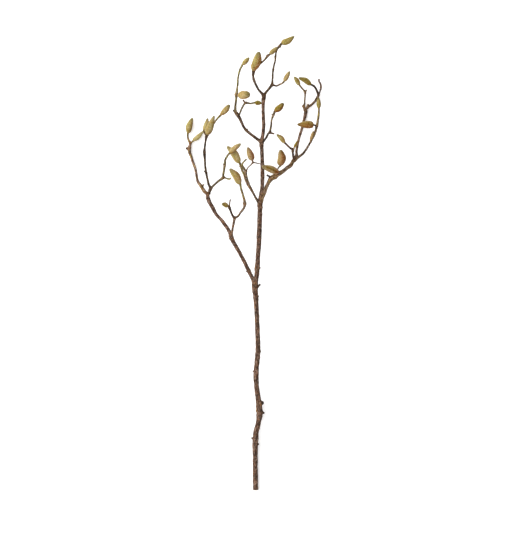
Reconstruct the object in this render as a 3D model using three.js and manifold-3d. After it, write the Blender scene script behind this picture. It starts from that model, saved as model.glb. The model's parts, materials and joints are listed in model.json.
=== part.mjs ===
// A cut branch of saucer magnolia in winter bud, laid down on a flat surface.
//
// It is a single woody branch with forked limbs and thin twigs, and velvety
// buds stand at the twig ends. All the wood grew as one piece, so it is one
// solid. Each bud is a solid of its own that sits on the flat end of its twig.
//
// Millimetres, +Z up. While the wood is drawn, X and Y run from the middle of
// the cut end, with +Y along the branch, and Z is the height above the surface
// that it lies on. It touches that surface in three places: the cut end, the
// elbow of the left limb and the last fork of the right limb.

import * as THREE from 'three';
import { mergeVertices } from 'three/addons/utils/BufferGeometryUtils.js';
import Module from 'manifold-3d';

const wasm = await Module();
wasm.setup();

// Driving dimensions.
const MAIN_RADIUS = 6.6; // mm, the main stem at the cut end
const BUD_RADIUS = 9.5; // mm, the widest place of a full-grown flower bud
const BUD_GAP = 0.3; // mm, clearance between a twig end and its bud
const BOX_CENTRE_FROM_CUT_END = new THREE.Vector3(-5.7, 568.3, 0.1); // mm, middle of the branch's underside

// How finely the wood is rounded: thick wood has more sides than thin wood.
const MAIN_SIDES = 10;
const LIMB_SIDES = 8;
const TWIG_SIDES = 6;
const RING_SPACING = 2.4; // ring to ring along the wood, in radii
const SHORTEST_RING_SPACING = 8; // mm
const DOME_SHOULDER = { radius: 0.62, height: 0.38 }; // rounded end of a stub, in end radii
const DOME_TOP = 0.55; // height of that rounded end, in end radii
const MERGE_DISTANCE = 1e-4; // mm

// Colours of bark and buds.
const BARK_COLOUR = '#6d4f3d';
const OLIVE = '#a0935a';
const TAN = '#b89b66';
const BROWN = '#9c7640';

// ---------------------------------------------------------------------------
// Wood. Each length is a row of [x, y, height, radius] places in mm, from its
// root to its end. Swollen places are nodes, where a leaf or a bud grew.
// A root lies inside the wood that carries it.

const mainStem = [
  [-1, 0, 6.7, MAIN_RADIUS],
  [-2, 48, 10, 6.5],
  [-2, 86, 13.5, 6.4],
  [-2, 113, 16, 7.3],
  [0, 143, 18, 7.1],
  [6, 170, 19.5, 6.5],
  [9, 191, 21, 8],
  [8, 205, 22, 7.8],
  [7, 220, 23, 7.2],
  [4, 239, 25, 6.7],
  [1, 266, 27.5, 6.4],
  [0, 292, 30, 6.9],
  [2, 317, 31.5, 6.5],
  [5, 346, 33, 6.4],
  [5, 365, 34.5, 6.3],
  [4, 393, 37, 6.2],
  [3, 422, 40, 5.9],
  [1, 460, 43, 6.2],
  [0, 480, 44.5, 6.5],
  [-2, 499, 45.5, 6.8],
  [-3, 516, 46.5, 7.6],
  [1, 532, 48, 5.6],
  [3, 557, 50, 6.6],
  [5, 586, 53, 5.9],
  [7, 615, 56.5, 6.2],
  [8, 643, 59, 6.6],
  [9, 672, 61, 6.3],
  [10, 701, 63, 6.2],
  [10, 720, 64.5, 6.2],
  [12, 739, 66, 4.8],
  [15, 758, 67, 4.8],
  [16, 777, 68, 5],
  [16, 810, 70, 5],
  [15, 845, 72, 4.7],
  [14, 873, 74, 5.4],
  [16, 883, 75, 4.5],
  [18, 897, 76, 4.4],
  [19, 915, 77.5, 4.3],
  [18, 950, 80, 4],
  [18, 967, 81.5, 4.3],
  [20, 988, 84, 4.4],
];

const leftLimb = [
  [-3, 512, 46, 5.6],
  [-5, 523, 46.5, 5.4],
  [-12, 537, 46.5, 5],
  [-18, 550, 46, 5.2],
  [-28, 571, 45, 4.8],
  [-39, 592, 43.5, 4.9],
  [-51, 613, 42, 5.2],
  [-61, 632, 41, 5.6],
  [-65, 645, 40, 5],
  [-73, 659, 38, 4.6],
  [-86, 677, 36, 4.4],
  [-99, 691, 34, 4.3],
  [-109.5, 710, 32, 5],
  [-117, 723, 31, 5.1],
  [-120.5, 733, 30, 5],
  [-121.5, 746, 29, 4.8],
];

const rightLimb = [
  [12, 722, 64.5, 5],
  [15, 733, 66, 5.2],
  [20, 743, 67, 4.8],
  [25, 757, 68, 4.6],
  [30.5, 769, 69, 4.9],
  [38, 781, 69.5, 6.1],
  [48, 787, 69, 6.8],
  [57, 793, 68, 6.1],
  [67.5, 799.5, 66, 4.9],
  [77, 807, 63, 4.7],
  [87, 814.5, 59, 4.9],
  [92, 823, 55, 4.2],
  [98, 830, 52, 4.6],
];

// Limbs of the second order, which carry no bud at their own end.
const limbs = {
  outerLeft: [
    [-119, 742, 29.5, 4],
    [-130, 750.5, 27, 4.6],
    [-137, 762.5, 24, 4.3],
    [-144.5, 772, 21, 3.7],
    [-147.5, 780, 18.5, 3.5],
    [-149.5, 792, 15, 3.3],
    [-153, 809, 10.5, 3.3],
    [-158.5, 823, 7, 3.4],
    [-163, 838, 4.8, 3.4],
    [-167, 848, 4.8, 3.9],
    [-168, 858, 5, 4.9],
    [-165.5, 867, 6.5, 3.3],
    [-165, 872, 7.5, 3.3],
  ],
  innerLeft: [
    [-62, 640, 41, 4.1],
    [-60, 648, 44, 3],
    [-58, 659, 51, 2.8],
    [-55, 674, 60, 3.2],
    [-53, 684, 66, 3.7],
  ],
  crownLeft: [
    [12, 873, 74.5, 4.2],
    [0.5, 881.5, 74, 3.7],
    [-12, 891, 72, 3.5],
    [-24, 901, 69, 3.5],
    [-31, 910.5, 66, 3.2],
    [-36.5, 922.5, 63, 3.5],
    [-41.5, 933.5, 60, 3.9],
    [-46, 941, 58, 4.3],
    [-56, 952, 54, 3],
  ],
  lowerRight: [
    [98, 828, 51, 4.2],
    [101.5, 839, 47, 4.3],
    [101, 848, 43, 3.2],
    [103.3, 862, 37, 3.1],
    [107, 880, 29, 3.3],
    [112, 897, 21, 3.5],
    [115, 906, 17, 3.7],
    [120, 927, 10, 3.6],
    [122.5, 937, 7.5, 4.2],
    [124.5, 950, 5.5, 4.6],
    [123.5, 957, 4.8, 4.7],
  ],
};

// Twigs. One with a bud carries it on its flat end: the bud's tip and its
// widest radius are given, and its middle is pushed out sideways by bulge.
// seam is where the edge of the outer bud scale lies round the bud, in degrees.
// blunt runs from 0 for a slender tip to 1 for a full one. belly below 1 puts
// the widest place nearer the tip, and above 1 nearer the twig.
const twigs = [
  // Left limb, outer fork, down at the elbow.
  {
    points: [
      [-164.5, 871, 7.5, 3.1],
      [-169.5, 879, 8.5, 2.6],
      [-171.5, 888, 9.5, 2.4],
      [-171, 896, 10, 2.5],
    ],
    bud: {
      name: 'bud_09', tip: [-160, 934, 15], radius: 7.7, bulge: [-2, 0, 0],
      seam: 60, blunt: 0.6, belly: 1, colour: OLIVE,
    },
  },
  {
    points: [[-164.5, 871, 7.5, 2.4], [-158, 876.5, 8.5, 2.3]],
    bud: {
      name: 'bud_10', tip: [-132, 901, 13], radius: 5.7, bulge: [1, -1, 0],
      seam: 150, blunt: 0.3, belly: 1, colour: OLIVE,
    },
  },
  // Left limb, middle fork, up to the cluster.
  {
    points: [
      [-119, 742, 29.5, 4],
      [-116, 752, 31, 3.9],
      [-114, 757, 33, 3.9],
      [-118, 766, 37, 3.2],
      [-122, 783, 44, 2.8],
      [-125, 798, 50, 3],
      [-127, 812, 56, 2.9],
      [-128, 831, 64, 3.1],
      [-129, 846, 70, 4.1],
      [-128, 859, 74, 2.8],
      [-126, 872, 78, 2.5],
      [-124, 884, 81, 2.8],
      [-122, 890, 86, 2.3],
    ],
    bud: {
      name: 'bud_12', tip: [-104, 937, 100], radius: 8.7, bulge: [0, 0, 0],
      seam: 90, blunt: 0.2, belly: 1.12, colour: TAN,
    },
  },
  {
    points: [[-124, 884, 81, 2.4], [-126.5, 891, 75, 2.2]],
    bud: {
      name: 'bud_11', tip: [-121, 932, 70], radius: 8, bulge: [-0.5, 0, 0],
      seam: 20, blunt: 0.1, belly: 1.15, colour: OLIVE,
    },
  },
  {
    points: [
      [-125, 879, 80, 2.2],
      [-120, 888, 69, 1.8],
      [-115, 900, 62, 1.7],
      [-101.5, 924.5, 61, 2.4],
      [-94, 934, 63, 2.7],
      [-89, 939, 64, 2.8],
    ],
    bud: {
      name: 'bud_13', tip: [-66, 965, 69], radius: 7.2, bulge: [1, -1, 0],
      seam: 120, blunt: 0.8, belly: 0.75, colour: TAN,
    },
  },
  {
    points: [
      [-115, 753, 32, 3],
      [-111, 759, 35, 2.9],
      [-101, 769, 42, 2.7],
      [-91, 777, 50, 3],
      [-82, 784, 57, 3.9],
      [-82, 790, 61, 3],
      [-80, 802, 68, 2.9],
      [-78, 815, 74, 3.5],
      [-77, 826, 77, 3],
      [-71, 838, 80, 2.7],
      [-66, 844, 81, 2.6],
    ],
    bud: {
      name: 'bud_14', tip: [-38, 868, 85], radius: 6.4, bulge: [-1, 1, 0],
      seam: 40, blunt: 0.7, belly: 0.9, colour: TAN,
    },
  },
  // Left limb, inner fork.
  {
    points: [[-53, 682, 65, 3.3], [-59.5, 690, 71, 2.7], [-63.5, 701, 78, 2.8], [-67, 710, 84, 3.2]],
  },
  {
    points: [[-66, 709, 83, 2.2], [-70, 711, 86, 2]],
    bud: {
      name: 'bud_18', tip: [-85, 718, 96], radius: 5.7, bulge: [0, 1, 0],
      seam: 30, blunt: 0.6, belly: 1, colour: TAN,
    },
  },
  {
    points: [
      [-54, 683, 66, 3.4],
      [-46, 686, 68, 2.6],
      [-38, 697, 72, 2.8],
      [-30, 708, 77, 3.1],
      [-28, 718, 81, 4.3],
      [-30.5, 733, 87, 2.9],
      [-36, 751, 94, 2.8],
      [-39.5, 767, 99, 2.9],
    ],
    bud: {
      name: 'bud_17', tip: [-65, 805, 112], radius: BUD_RADIUS, bulge: [2, 2, 0],
      seam: 300, blunt: 0.5, belly: 1, colour: OLIVE,
    },
  },
  // Main stem, left twig at the crown fork, with its side shoots.
  {
    points: [
      [8, 718, 66, 3.4],
      [2, 728, 68, 3],
      [-5, 741, 71, 2.8],
      [-13, 756, 73, 2.8],
      [-20, 773, 75, 2.7],
      [-25, 791, 76, 2.8],
      [-26, 797, 76.5, 3.3],
      [-30, 806, 77, 2.9],
      [-35, 815, 78, 2.6],
      [-31, 822, 79, 1.9],
      [-24, 829, 80, 2.1],
    ],
  },
  {
    points: [
      [-14, 756, 72.5, 2.8],
      [-22, 768, 70.5, 2.6],
      [-27, 779, 69.5, 2.2],
      [-30, 791, 69, 2.6],
      [-34.5, 801.5, 69, 2.6],
      [-37.5, 811.5, 69.5, 3.1],
      [-41, 820.5, 69, 2.8],
    ],
    bud: {
      name: 'bud_15', tip: [-72, 862, 61], radius: BUD_RADIUS, bulge: [2, 2, 0],
      seam: 320, blunt: 0.4, belly: 1, colour: OLIVE,
    },
  },
  {
    points: [
      [-26, 796, 76, 1.9],
      [-20, 808, 73, 1.6],
      [-13, 815, 70, 1.6],
      [-7, 821, 67, 2.1],
      [0, 820, 63, 1.4],
      [10, 818, 58, 1.2],
    ],
  },
  {
    points: [[-8, 819, 67, 1.8], [-9, 826.5, 69.5, 2]],
    bud: {
      name: 'bud_16', tip: [-21, 859, 80], radius: 8.1, bulge: [0, 0, 1],
      seam: 45, blunt: 0.4, belly: 1.1, colour: BROWN,
    },
  },
  // Crown, left.
  {
    points: [
      [-49, 944, 57, 3.5],
      [-51.5, 952, 59, 3.1],
      [-51, 967, 64, 3],
      [-49.5, 980, 68, 3.1],
      [-49, 991, 71, 4.5],
      [-48, 999, 73, 3.4],
      [-47, 1006, 75, 2.8],
      [-45.5, 1018, 78, 2.6],
      [-45, 1031, 81, 2.4],
      [-43, 1041, 83, 2.5],
      [-40, 1052, 85, 2.7],
      [-36.5, 1059, 86, 2.8],
      [-34, 1064, 87, 2.8],
    ],
    bud: {
      name: 'bud_04', tip: [-17, 1082, 92], radius: 5.6, bulge: [0, 0, 1],
      seam: 80, blunt: 0.9, belly: 0.9, colour: OLIVE,
    },
  },
  {
    points: [[-49, 990, 71, 2.4], [-44, 988, 76, 2.2]],
    bud: {
      name: 'bud_06', tip: [-16, 990, 103], radius: 10.3, bulge: [0, 0, 1],
      seam: 200, blunt: 1, belly: 0.85, colour: TAN,
    },
  },
  {
    points: [
      [-43, 937, 59, 2.4],
      [-41, 943, 58, 2.1],
      [-36, 955, 57, 2.3],
      [-30, 966.5, 56, 2.4],
      [-25, 971, 56, 2.8],
      [-15, 969, 55, 2.2],
      [-3, 971, 54, 2.3],
    ],
    bud: {
      name: 'bud_07', tip: [15, 970, 56], radius: 5.7, bulge: [0, 0, 0],
      seam: 10, blunt: 0.3, belly: 1, colour: OLIVE,
    },
  },
  // Crown, right of the main stem.
  {
    points: [
      [16, 871, 76, 2.8],
      [25, 882, 82, 2.6],
      [31, 893, 89, 2.8],
      [34.5, 896, 92, 3.4],
      [36, 903, 95, 2.6],
      [38, 915, 100, 2.4],
      [39, 927, 105, 2.2],
      [43, 938, 109, 3.3],
      [47, 947, 112, 3],
    ],
    bud: {
      name: 'bud_08', tip: [68.5, 967, 123], radius: 7.6, bulge: [1, -1, 0],
      seam: 100, blunt: 0.9, belly: 1, colour: BROWN,
    },
  },
  // Right limb, two buds at its bend.
  {
    points: [[56, 794, 70, 2.6], [59, 795, 77, 2.4], [56, 796, 80, 2.2]],
    bud: {
      name: 'bud_19', tip: [15, 811, 103], radius: 8.8, bulge: [0, 1, 1],
      seam: 335, blunt: 0.6, belly: 1, colour: BROWN,
    },
  },
  {
    points: [[57, 796, 69, 2.2], [54, 803, 71, 1.8], [57, 809, 74, 1.8], [61, 813, 77, 2.2]],
    bud: {
      name: 'bud_20', tip: [62, 852, 91], radius: 10.4, bulge: [3, 0, 0],
      seam: 345, blunt: 0.7, belly: 1, colour: BROWN,
    },
  },
  // Right limb, short fork.
  {
    points: [
      [96, 825, 53, 3.4],
      [94, 832, 58, 3],
      [92, 845, 65, 2.9],
      [92, 853, 69, 3.7],
      [86, 857, 72, 2.6],
      [78, 864, 75, 2.4],
      [72, 870, 78, 2.5],
    ],
    bud: {
      name: 'bud_21', tip: [52, 891, 85], radius: 5.8, bulge: [1, 1, 0],
      seam: 30, blunt: 0.5, belly: 1, colour: OLIVE,
    },
  },
  {
    points: [[92, 852, 69, 2], [95, 857, 72, 1.7]],
    bud: {
      name: 'bud_22', tip: [103, 875, 80], radius: 2.9, bulge: [0, 0, 0],
      seam: 0, blunt: 0.4, belly: 1, colour: OLIVE,
    },
  },
  // Right limb, lower fork, with the twigs past the place where it rests.
  {
    points: [
      [123, 956, 6, 3.3],
      [120, 962, 8.5, 3],
      [122, 971, 12, 2.6],
      [122, 977, 14.5, 2.2],
      [123, 988, 19, 2.1],
      [123, 999, 23, 3],
      [118, 1005, 25, 2],
      [113, 1011, 27, 2],
      [109, 1016, 28, 2.1],
    ],
    bud: {
      name: 'bud_26', tip: [96, 1037, 31], radius: 5.6, bulge: [0, 1, 0],
      seam: 0, blunt: 0.5, belly: 1, colour: OLIVE,
    },
  },
  {
    points: [
      [124.5, 956, 6, 3.2],
      [130.5, 962, 6.5, 3.3],
      [137.5, 966, 7.5, 3],
      [146, 974, 10, 2.9],
      [151.5, 980.5, 12, 3.3],
      [154.5, 986, 14, 3.6],
      [156, 990, 16, 3.1],
      [154, 999, 21, 2.8],
      [150, 1007, 26, 2.7],
      [145, 1013.5, 31, 2.9],
      [138, 1017, 34, 2.5],
    ],
    bud: {
      name: 'bud_27', tip: [107, 1034, 45], radius: 6.8, bulge: [1, 2, 0],
      seam: 330, blunt: 0.4, belly: 1, colour: OLIVE,
    },
  },
  {
    points: [
      [154, 985, 14, 2.6],
      [157, 991, 16.5, 2.5],
      [160, 999.5, 19, 2],
      [163, 1010, 21, 2.5],
      [161.5, 1020, 22, 2.3],
      [158, 1026, 23, 2.2],
      [158, 1031, 24, 2.2],
    ],
  },
  // Right limb, outer fork.
  {
    points: [
      [97, 829, 52.5, 3.8],
      [108, 836, 55, 3],
      [117, 843, 57, 3],
      [126, 855, 59, 2.9],
      [136.5, 873, 62, 2.5],
      [145, 889, 65, 3],
      [150, 904, 67, 3.2],
      [152, 913, 68, 3.7],
      [155.5, 932, 70, 3.1],
      [157, 944, 71, 2.8],
      [157, 956, 72, 2.5],
    ],
    bud: {
      name: 'bud_25', tip: [156, 983, 77], radius: 5.4, bulge: [0, 0, 0],
      seam: 60, blunt: 0.5, belly: 1, colour: OLIVE,
    },
  },
  {
    points: [[152, 912, 68.5, 2.2], [147, 914, 71, 1.9], [144, 915, 72, 2.1]],
    bud: {
      name: 'bud_23', tip: [103, 916, 75], radius: BUD_RADIUS, bulge: [0, 0, 1],
      seam: 345, blunt: 0.2, belly: 1.25, colour: BROWN,
    },
  },
  {
    points: [[137.5, 873, 63, 2], [136, 876, 68, 1.7]],
    bud: {
      name: 'bud_24', tip: [143.5, 900, 77], radius: 3.6, bulge: [0, 0, 0],
      seam: 0, blunt: 0.7, belly: 1, colour: BROWN,
    },
  },
  // Top fork, left.
  {
    points: [
      [20, 984, 84, 4.2],
      [15.5, 991.5, 88, 3.5],
      [7, 1001.5, 94, 2.8],
      [-0.5, 1014.5, 101, 2.9],
      [-5, 1025, 106, 3.4],
      [-7, 1034, 111, 2.8],
      [-7, 1044, 116, 3.1],
      [-7, 1048, 118, 3.3],
    ],
    bud: {
      name: 'bud_03', tip: [8, 1095, 131], radius: 10.6, bulge: [2, 0, 0],
      seam: 65, blunt: 0.62, belly: 0.85, colour: OLIVE,
    },
  },
  {
    points: [
      [-7, 1040, 113.5, 2.8],
      [-1, 1053, 106, 2.4],
      [7, 1063, 101, 2.3],
      [15, 1070.5, 99, 2.3],
      [22.5, 1077.5, 98, 2.6],
      [28.5, 1085.5, 98, 3.3],
      [34, 1090, 98, 2.8],
    ],
    bud: {
      name: 'bud_02', tip: [53, 1108, 101], radius: 5.6, bulge: [0, 0, 0],
      seam: 70, blunt: 0.5, belly: 1, colour: TAN,
    },
  },
  // Top fork, right.
  {
    points: [
      [20, 984, 84, 4.2],
      [23, 993, 83, 3.4],
      [30, 1002, 81, 3.2],
      [37, 1011, 79, 3.4],
      [40, 1015, 78, 3.6],
      [41, 1025, 76, 2.6],
      [42, 1044, 73, 2.4],
      [43, 1053, 72, 2.7],
      [45, 1064, 70, 2.3],
      [48, 1076, 69, 2.3],
      [48.5, 1084, 68, 2.8],
      [50, 1095, 67, 2.2],
      [52.5, 1104, 67, 2.9],
      [58.5, 1111.5, 67, 3.4],
      [64, 1118, 67, 3.1],
    ],
    bud: {
      name: 'bud_01', tip: [96, 1136, 72], radius: 8.1, bulge: [1, -2, 0],
      seam: 110, blunt: 0.2, belly: 1.15, colour: OLIVE,
    },
  },
  {
    points: [
      [40, 1014, 78, 2.6],
      [47, 1013, 79, 2.2],
      [51, 1012, 80, 2.3],
      [58, 1015, 82, 2.3],
      [66, 1019, 84, 2.3],
      [70, 1023, 86, 2.4],
    ],
    bud: {
      name: 'bud_05', tip: [84, 1048, 93], radius: 5.6, bulge: [0, 0, 0],
      seam: 50, blunt: 0.6, belly: 1, colour: TAN,
    },
  },
];

// Short dead ends: knobs and broken twigs, as [x, y, height, radius] of root and end.
const stubs = [
  [[-1, 128, 17, 2.8], [-11, 131, 18, 2.2]],
  [[-2, 112, 16, 2.8], [7, 116, 17, 2.2]],
  [[9, 199, 21, 4.6], [20, 193.5, 22.5, 2.9]],
  [[7, 218, 23, 5.4], [17.5, 219.5, 24, 4.6]],
  [[0, 296, 30, 2.4], [-8, 299, 31, 1.9]],
  [[5, 345, 33, 2.4], [12, 349, 35, 2]],
  [[0, 484, 45, 2], [7, 487, 46, 1.7]],
  [[0, 505, 46, 3.2], [10, 516.5, 49, 2.4]],
  [[-138, 762, 24, 2.4], [-130.5, 766.5, 26, 2]],
  [[-167, 857, 5.8, 3.6], [-175, 858, 6, 3]],
  [[-124, 796, 49, 2], [-130, 800, 52, 1.6]],
  [[-125, 887, 82, 2], [-132, 902, 84, 1.4]],
  [[-82, 784, 57, 2.3], [-75, 782, 57, 2], [-68, 780, 56, 2.3], [-63, 782, 56, 2.2]],
  [[-67, 709, 83, 2.2], [-66, 718, 89, 1.9], [-64, 728, 94, 1.8]],
  [[-26, 969, 56, 2.5], [-32, 977, 58, 2.2]],
  [[34, 895, 91, 2.4], [45, 892, 93, 2]],
  [[39, 781, 71, 3], [33, 786, 73, 2.7], [27.5, 789.5, 75, 2.3]],
  [[18, 991, 87, 2.4], [11, 997, 90, 1.8]],
  [[122, 960, 8, 2.8], [116.5, 965, 9.5, 2.4]],
  [[123, 998, 23, 2.1], [127, 1004, 24.5, 1.6]],
  [[129, 961, 6.8, 2.8], [130.5, 968, 11, 2.6]],
];

// ---------------------------------------------------------------------------
// Building the wood.

function place([x, y, height]) {
  return new THREE.Vector3(x, y, height);
}

// Centre, direction and radius of every ring along a row of places.
function ringsAlong(points) {
  const curve = new THREE.CatmullRomCurve3(points.map(place), false, 'centripetal');
  const spans = points.length - 1;
  const rings = [];
  for (let span = 0; span < spans; span += 1) {
    const here = points[span];
    const next = points[span + 1];
    const spacing = Math.max(RING_SPACING * here[3], SHORTEST_RING_SPACING);
    const steps = Math.max(1, Math.round(place(here).distanceTo(place(next)) / spacing));
    for (let step = 0; step < steps; step += 1) {
      const along = (span + step / steps) / spans;
      rings.push({
        centre: curve.getPoint(along),
        direction: curve.getTangent(along),
        radius: THREE.MathUtils.lerp(here[3], next[3], step / steps),
      });
    }
  }
  rings.push({ centre: curve.getPoint(1), direction: curve.getTangent(1), radius: points[spans][3] });
  return rings;
}

// A closed skin over rings of corners, all with the same number of corners.
function skin(rows, startPoint, endPoint) {
  const sides = rows[0].length;
  const corners = [startPoint, ...rows.flat(), endPoint];
  const last = corners.length - 1;
  const faces = [];
  for (let side = 0; side < sides; side += 1) {
    const nextSide = (side + 1) % sides;
    faces.push(0, 1 + nextSide, 1 + side);
    for (let row = 0; row < rows.length - 1; row += 1) {
      const here = 1 + row * sides;
      const above = here + sides;
      faces.push(here + side, here + nextSide, above + nextSide);
      faces.push(here + side, above + nextSide, above + side);
    }
    const top = 1 + (rows.length - 1) * sides;
    faces.push(last, top + side, top + nextSide);
  }
  const geometry = new THREE.BufferGeometry();
  geometry.setAttribute('position', new THREE.Float32BufferAttribute(corners.flatMap((c) => c.toArray()), 3));
  geometry.setIndex(faces);
  return geometry;
}

// One tapered length of wood. Its end is cut square to endDirection where a
// bud sits on it, and is a low dome where it is a dead end.
function woodLength(points, sides, endDirection) {
  const rings = ringsAlong(points);
  if (endDirection) {
    rings.at(-1).direction = endDirection;
  }
  let sideways = new THREE.Vector3(0, 0, 1);
  const rows = rings.map(({ centre, direction, radius }) => {
    sideways = sideways.clone().projectOnPlane(direction).normalize();
    const across = new THREE.Vector3().crossVectors(direction, sideways);
    return Array.from({ length: sides }, (_, side) => {
      const angle = (2 * Math.PI * side) / sides;
      return centre
        .clone()
        .addScaledVector(sideways, radius * Math.cos(angle))
        .addScaledVector(across, radius * Math.sin(angle));
    });
  });
  const end = rings.at(-1);
  const endPoint = end.centre.clone();
  if (!endDirection) {
    const shoulder = end.centre.clone().addScaledVector(end.direction, DOME_SHOULDER.height * end.radius);
    rows.push(rows.at(-1).map((corner) => {
      return corner.clone().sub(end.centre).multiplyScalar(DOME_SHOULDER.radius).add(shoulder);
    }));
    endPoint.addScaledVector(end.direction, DOME_TOP * end.radius);
  }
  return skin(rows, rings[0].centre, endPoint);
}

function toSolid(geometry) {
  return new wasm.Manifold(new wasm.Mesh({
    numProp: 3,
    vertProperties: Float32Array.from(geometry.attributes.position.array),
    triVerts: Uint32Array.from(geometry.index.array),
  }));
}

function toGeometry(solid) {
  const { vertProperties, triVerts } = solid.getMesh();
  const geometry = new THREE.BufferGeometry();
  geometry.setAttribute('position', new THREE.Float32BufferAttribute(vertProperties, 3));
  geometry.setIndex(Array.from(triVerts));
  return mergeVertices(geometry, MERGE_DISTANCE);
}

// The direction from a twig's end to the tip of its bud.
function budDirection({ points, bud }) {
  return place(bud.tip).sub(place(points.at(-1))).normalize();
}

function buildWood() {
  const lengths = [
    woodLength(mainStem, MAIN_SIDES),
    woodLength(leftLimb, LIMB_SIDES),
    woodLength(rightLimb, LIMB_SIDES),
    ...Object.values(limbs).map((points) => woodLength(points, LIMB_SIDES)),
    ...twigs.map((twig) => woodLength(twig.points, TWIG_SIDES, twig.bud && budDirection(twig))),
    ...stubs.map((points) => woodLength(points, TWIG_SIDES)),
  ];
  const joined = lengths.map(toSolid).reduce((whole, length) => whole.add(length));
  return toGeometry(joined);
}

// ---------------------------------------------------------------------------
// Building a bud. It is a long pointed egg in two wrapped scales: the outer
// scale laps over the inner one, so the section is a spiral of one turn with a
// low ledge at the seam, which leans a little round the bud towards the tip.

const BUD_OUTLINE = [
  // along the bud, radius when slender, radius when blunt, all as parts of the whole
  [0, 0.3, 0.3],
  [0.04, 0.52, 0.52],
  [0.12, 0.77, 0.77],
  [0.24, 0.95, 0.94],
  [0.38, 1, 1],
  [0.52, 0.94, 0.98],
  [0.66, 0.78, 0.9],
  [0.79, 0.57, 0.75],
  [0.9, 0.38, 0.56],
  [0.97, 0.22, 0.34],
];
const SCALE_OVERLAP = 0.07; // height of the ledge at the seam, in radii
const SEAM_WIDTH = 0.12; // radians
const SEAM_LEAN = 0.6; // radians from base to tip
const LARGE_BUD_COLUMNS = 12;
const SMALL_BUD_COLUMNS = 9;
const SMALL_BUD_RADIUS = 5; // mm

function budGeometry(twig) {
  const { bud } = twig;
  const direction = budDirection(twig);
  const base = place(twig.points.at(-1)).addScaledVector(direction, BUD_GAP);
  const tip = place(bud.tip);
  const bulge = place(bud.bulge);
  const up = new THREE.Vector3(0, 0, 1).projectOnPlane(direction).normalize();
  const across = new THREE.Vector3().crossVectors(direction, up);
  const columns = bud.radius < SMALL_BUD_RADIUS ? SMALL_BUD_COLUMNS : LARGE_BUD_COLUMNS;
  const axisAt = (along) => {
    return base.clone().lerp(tip, along).addScaledVector(bulge, Math.sin(Math.PI * along) ** 2);
  };
  const rows = BUD_OUTLINE.map(([share, slender, full]) => {
    const along = share ** bud.belly;
    const width = THREE.MathUtils.lerp(slender, full, bud.blunt);
    const seam = THREE.MathUtils.degToRad(bud.seam) + SEAM_LEAN * along;
    return Array.from({ length: columns }, (_, column) => {
      const turn = column / (columns - 1);
      const angle = seam + turn * (2 * Math.PI - SEAM_WIDTH);
      const radius = bud.radius * width * (1 + SCALE_OVERLAP * (0.5 - turn));
      return axisAt(along)
        .addScaledVector(up, radius * Math.cos(angle))
        .addScaledVector(across, radius * Math.sin(angle));
    });
  });
  return skin(rows, base, tip);
}

// ---------------------------------------------------------------------------
// The branch, moved so that its origin is on the surface under its middle.

function addPiece(group, name, geometry, colour, roughness) {
  geometry.translate(-BOX_CENTRE_FROM_CUT_END.x, -BOX_CENTRE_FROM_CUT_END.y, -BOX_CENTRE_FROM_CUT_END.z);
  geometry.computeVertexNormals();
  const material = new THREE.MeshStandardMaterial({ color: colour, roughness, metalness: 0 });
  const mesh = new THREE.Mesh(geometry, material);
  mesh.name = name;
  group.add(mesh);
}

const BARK_ROUGHNESS = 0.85;
const VELVET_ROUGHNESS = 0.95;

const group = new THREE.Group();
group.name = 'saucer_magnolia_branch';
addPiece(group, 'branch_wood', buildWood(), BARK_COLOUR, BARK_ROUGHNESS);
const budded = twigs.filter((twig) => twig.bud).sort((a, b) => a.bud.name.localeCompare(b.bud.name));
for (const twig of budded) {
  addPiece(group, twig.bud.name, budGeometry(twig), twig.bud.colour, VELVET_ROUGHNESS);
}

export default group;
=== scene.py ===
# A cut branch of saucer magnolia in winter bud, laid down on a white table and
# seen from above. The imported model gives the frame; the wood and every bud are
# drawn again here with their bark, scars, scale seams and silky hair.

import json
import math
import random

import bmesh
import bpy
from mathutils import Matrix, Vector, kdtree, noise

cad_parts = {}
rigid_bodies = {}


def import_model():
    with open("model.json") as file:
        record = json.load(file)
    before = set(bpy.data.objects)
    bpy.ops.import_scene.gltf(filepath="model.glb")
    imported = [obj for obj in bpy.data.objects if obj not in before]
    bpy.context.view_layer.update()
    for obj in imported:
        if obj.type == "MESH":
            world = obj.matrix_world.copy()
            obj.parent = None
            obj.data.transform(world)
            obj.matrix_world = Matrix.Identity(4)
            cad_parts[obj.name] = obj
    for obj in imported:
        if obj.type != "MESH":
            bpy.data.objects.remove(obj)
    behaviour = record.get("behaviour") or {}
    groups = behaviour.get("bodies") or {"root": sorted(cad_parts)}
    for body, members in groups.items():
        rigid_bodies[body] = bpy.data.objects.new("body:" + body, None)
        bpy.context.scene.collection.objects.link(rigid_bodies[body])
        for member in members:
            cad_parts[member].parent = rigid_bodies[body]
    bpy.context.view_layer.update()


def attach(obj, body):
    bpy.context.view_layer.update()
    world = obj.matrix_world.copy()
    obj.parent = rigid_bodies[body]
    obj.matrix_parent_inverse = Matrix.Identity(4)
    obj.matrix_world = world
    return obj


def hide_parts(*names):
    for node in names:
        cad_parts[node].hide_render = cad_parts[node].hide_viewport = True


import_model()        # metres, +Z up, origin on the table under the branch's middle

# ---------------------------------------------------------------------------
# The wood. One grown piece: a main stem, two limbs with their forks, thin
# twigs that end in buds, and short dead ends. Each length is a round skin on a
# smooth curve; all are joined into one, and the forks are filled out after.
#
# A row is x, y, height and radius in millimetres, from the middle of the cut
# end, with +Y along the branch and the height above the table. A radius larger
# than its neighbours' is a node, where a leaf or a side shoot grew. Tone is
# the colour of the bark from root to end: 0 black-brown, 0.5 brown, 1 olive.
# Olive is how green the dark and middle tones are on that length.

MM = 0.001
MIDDLE_FROM_CUT_END = Vector((-5.7, 568.3, 0.1))  # mm, the frame's origin

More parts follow.
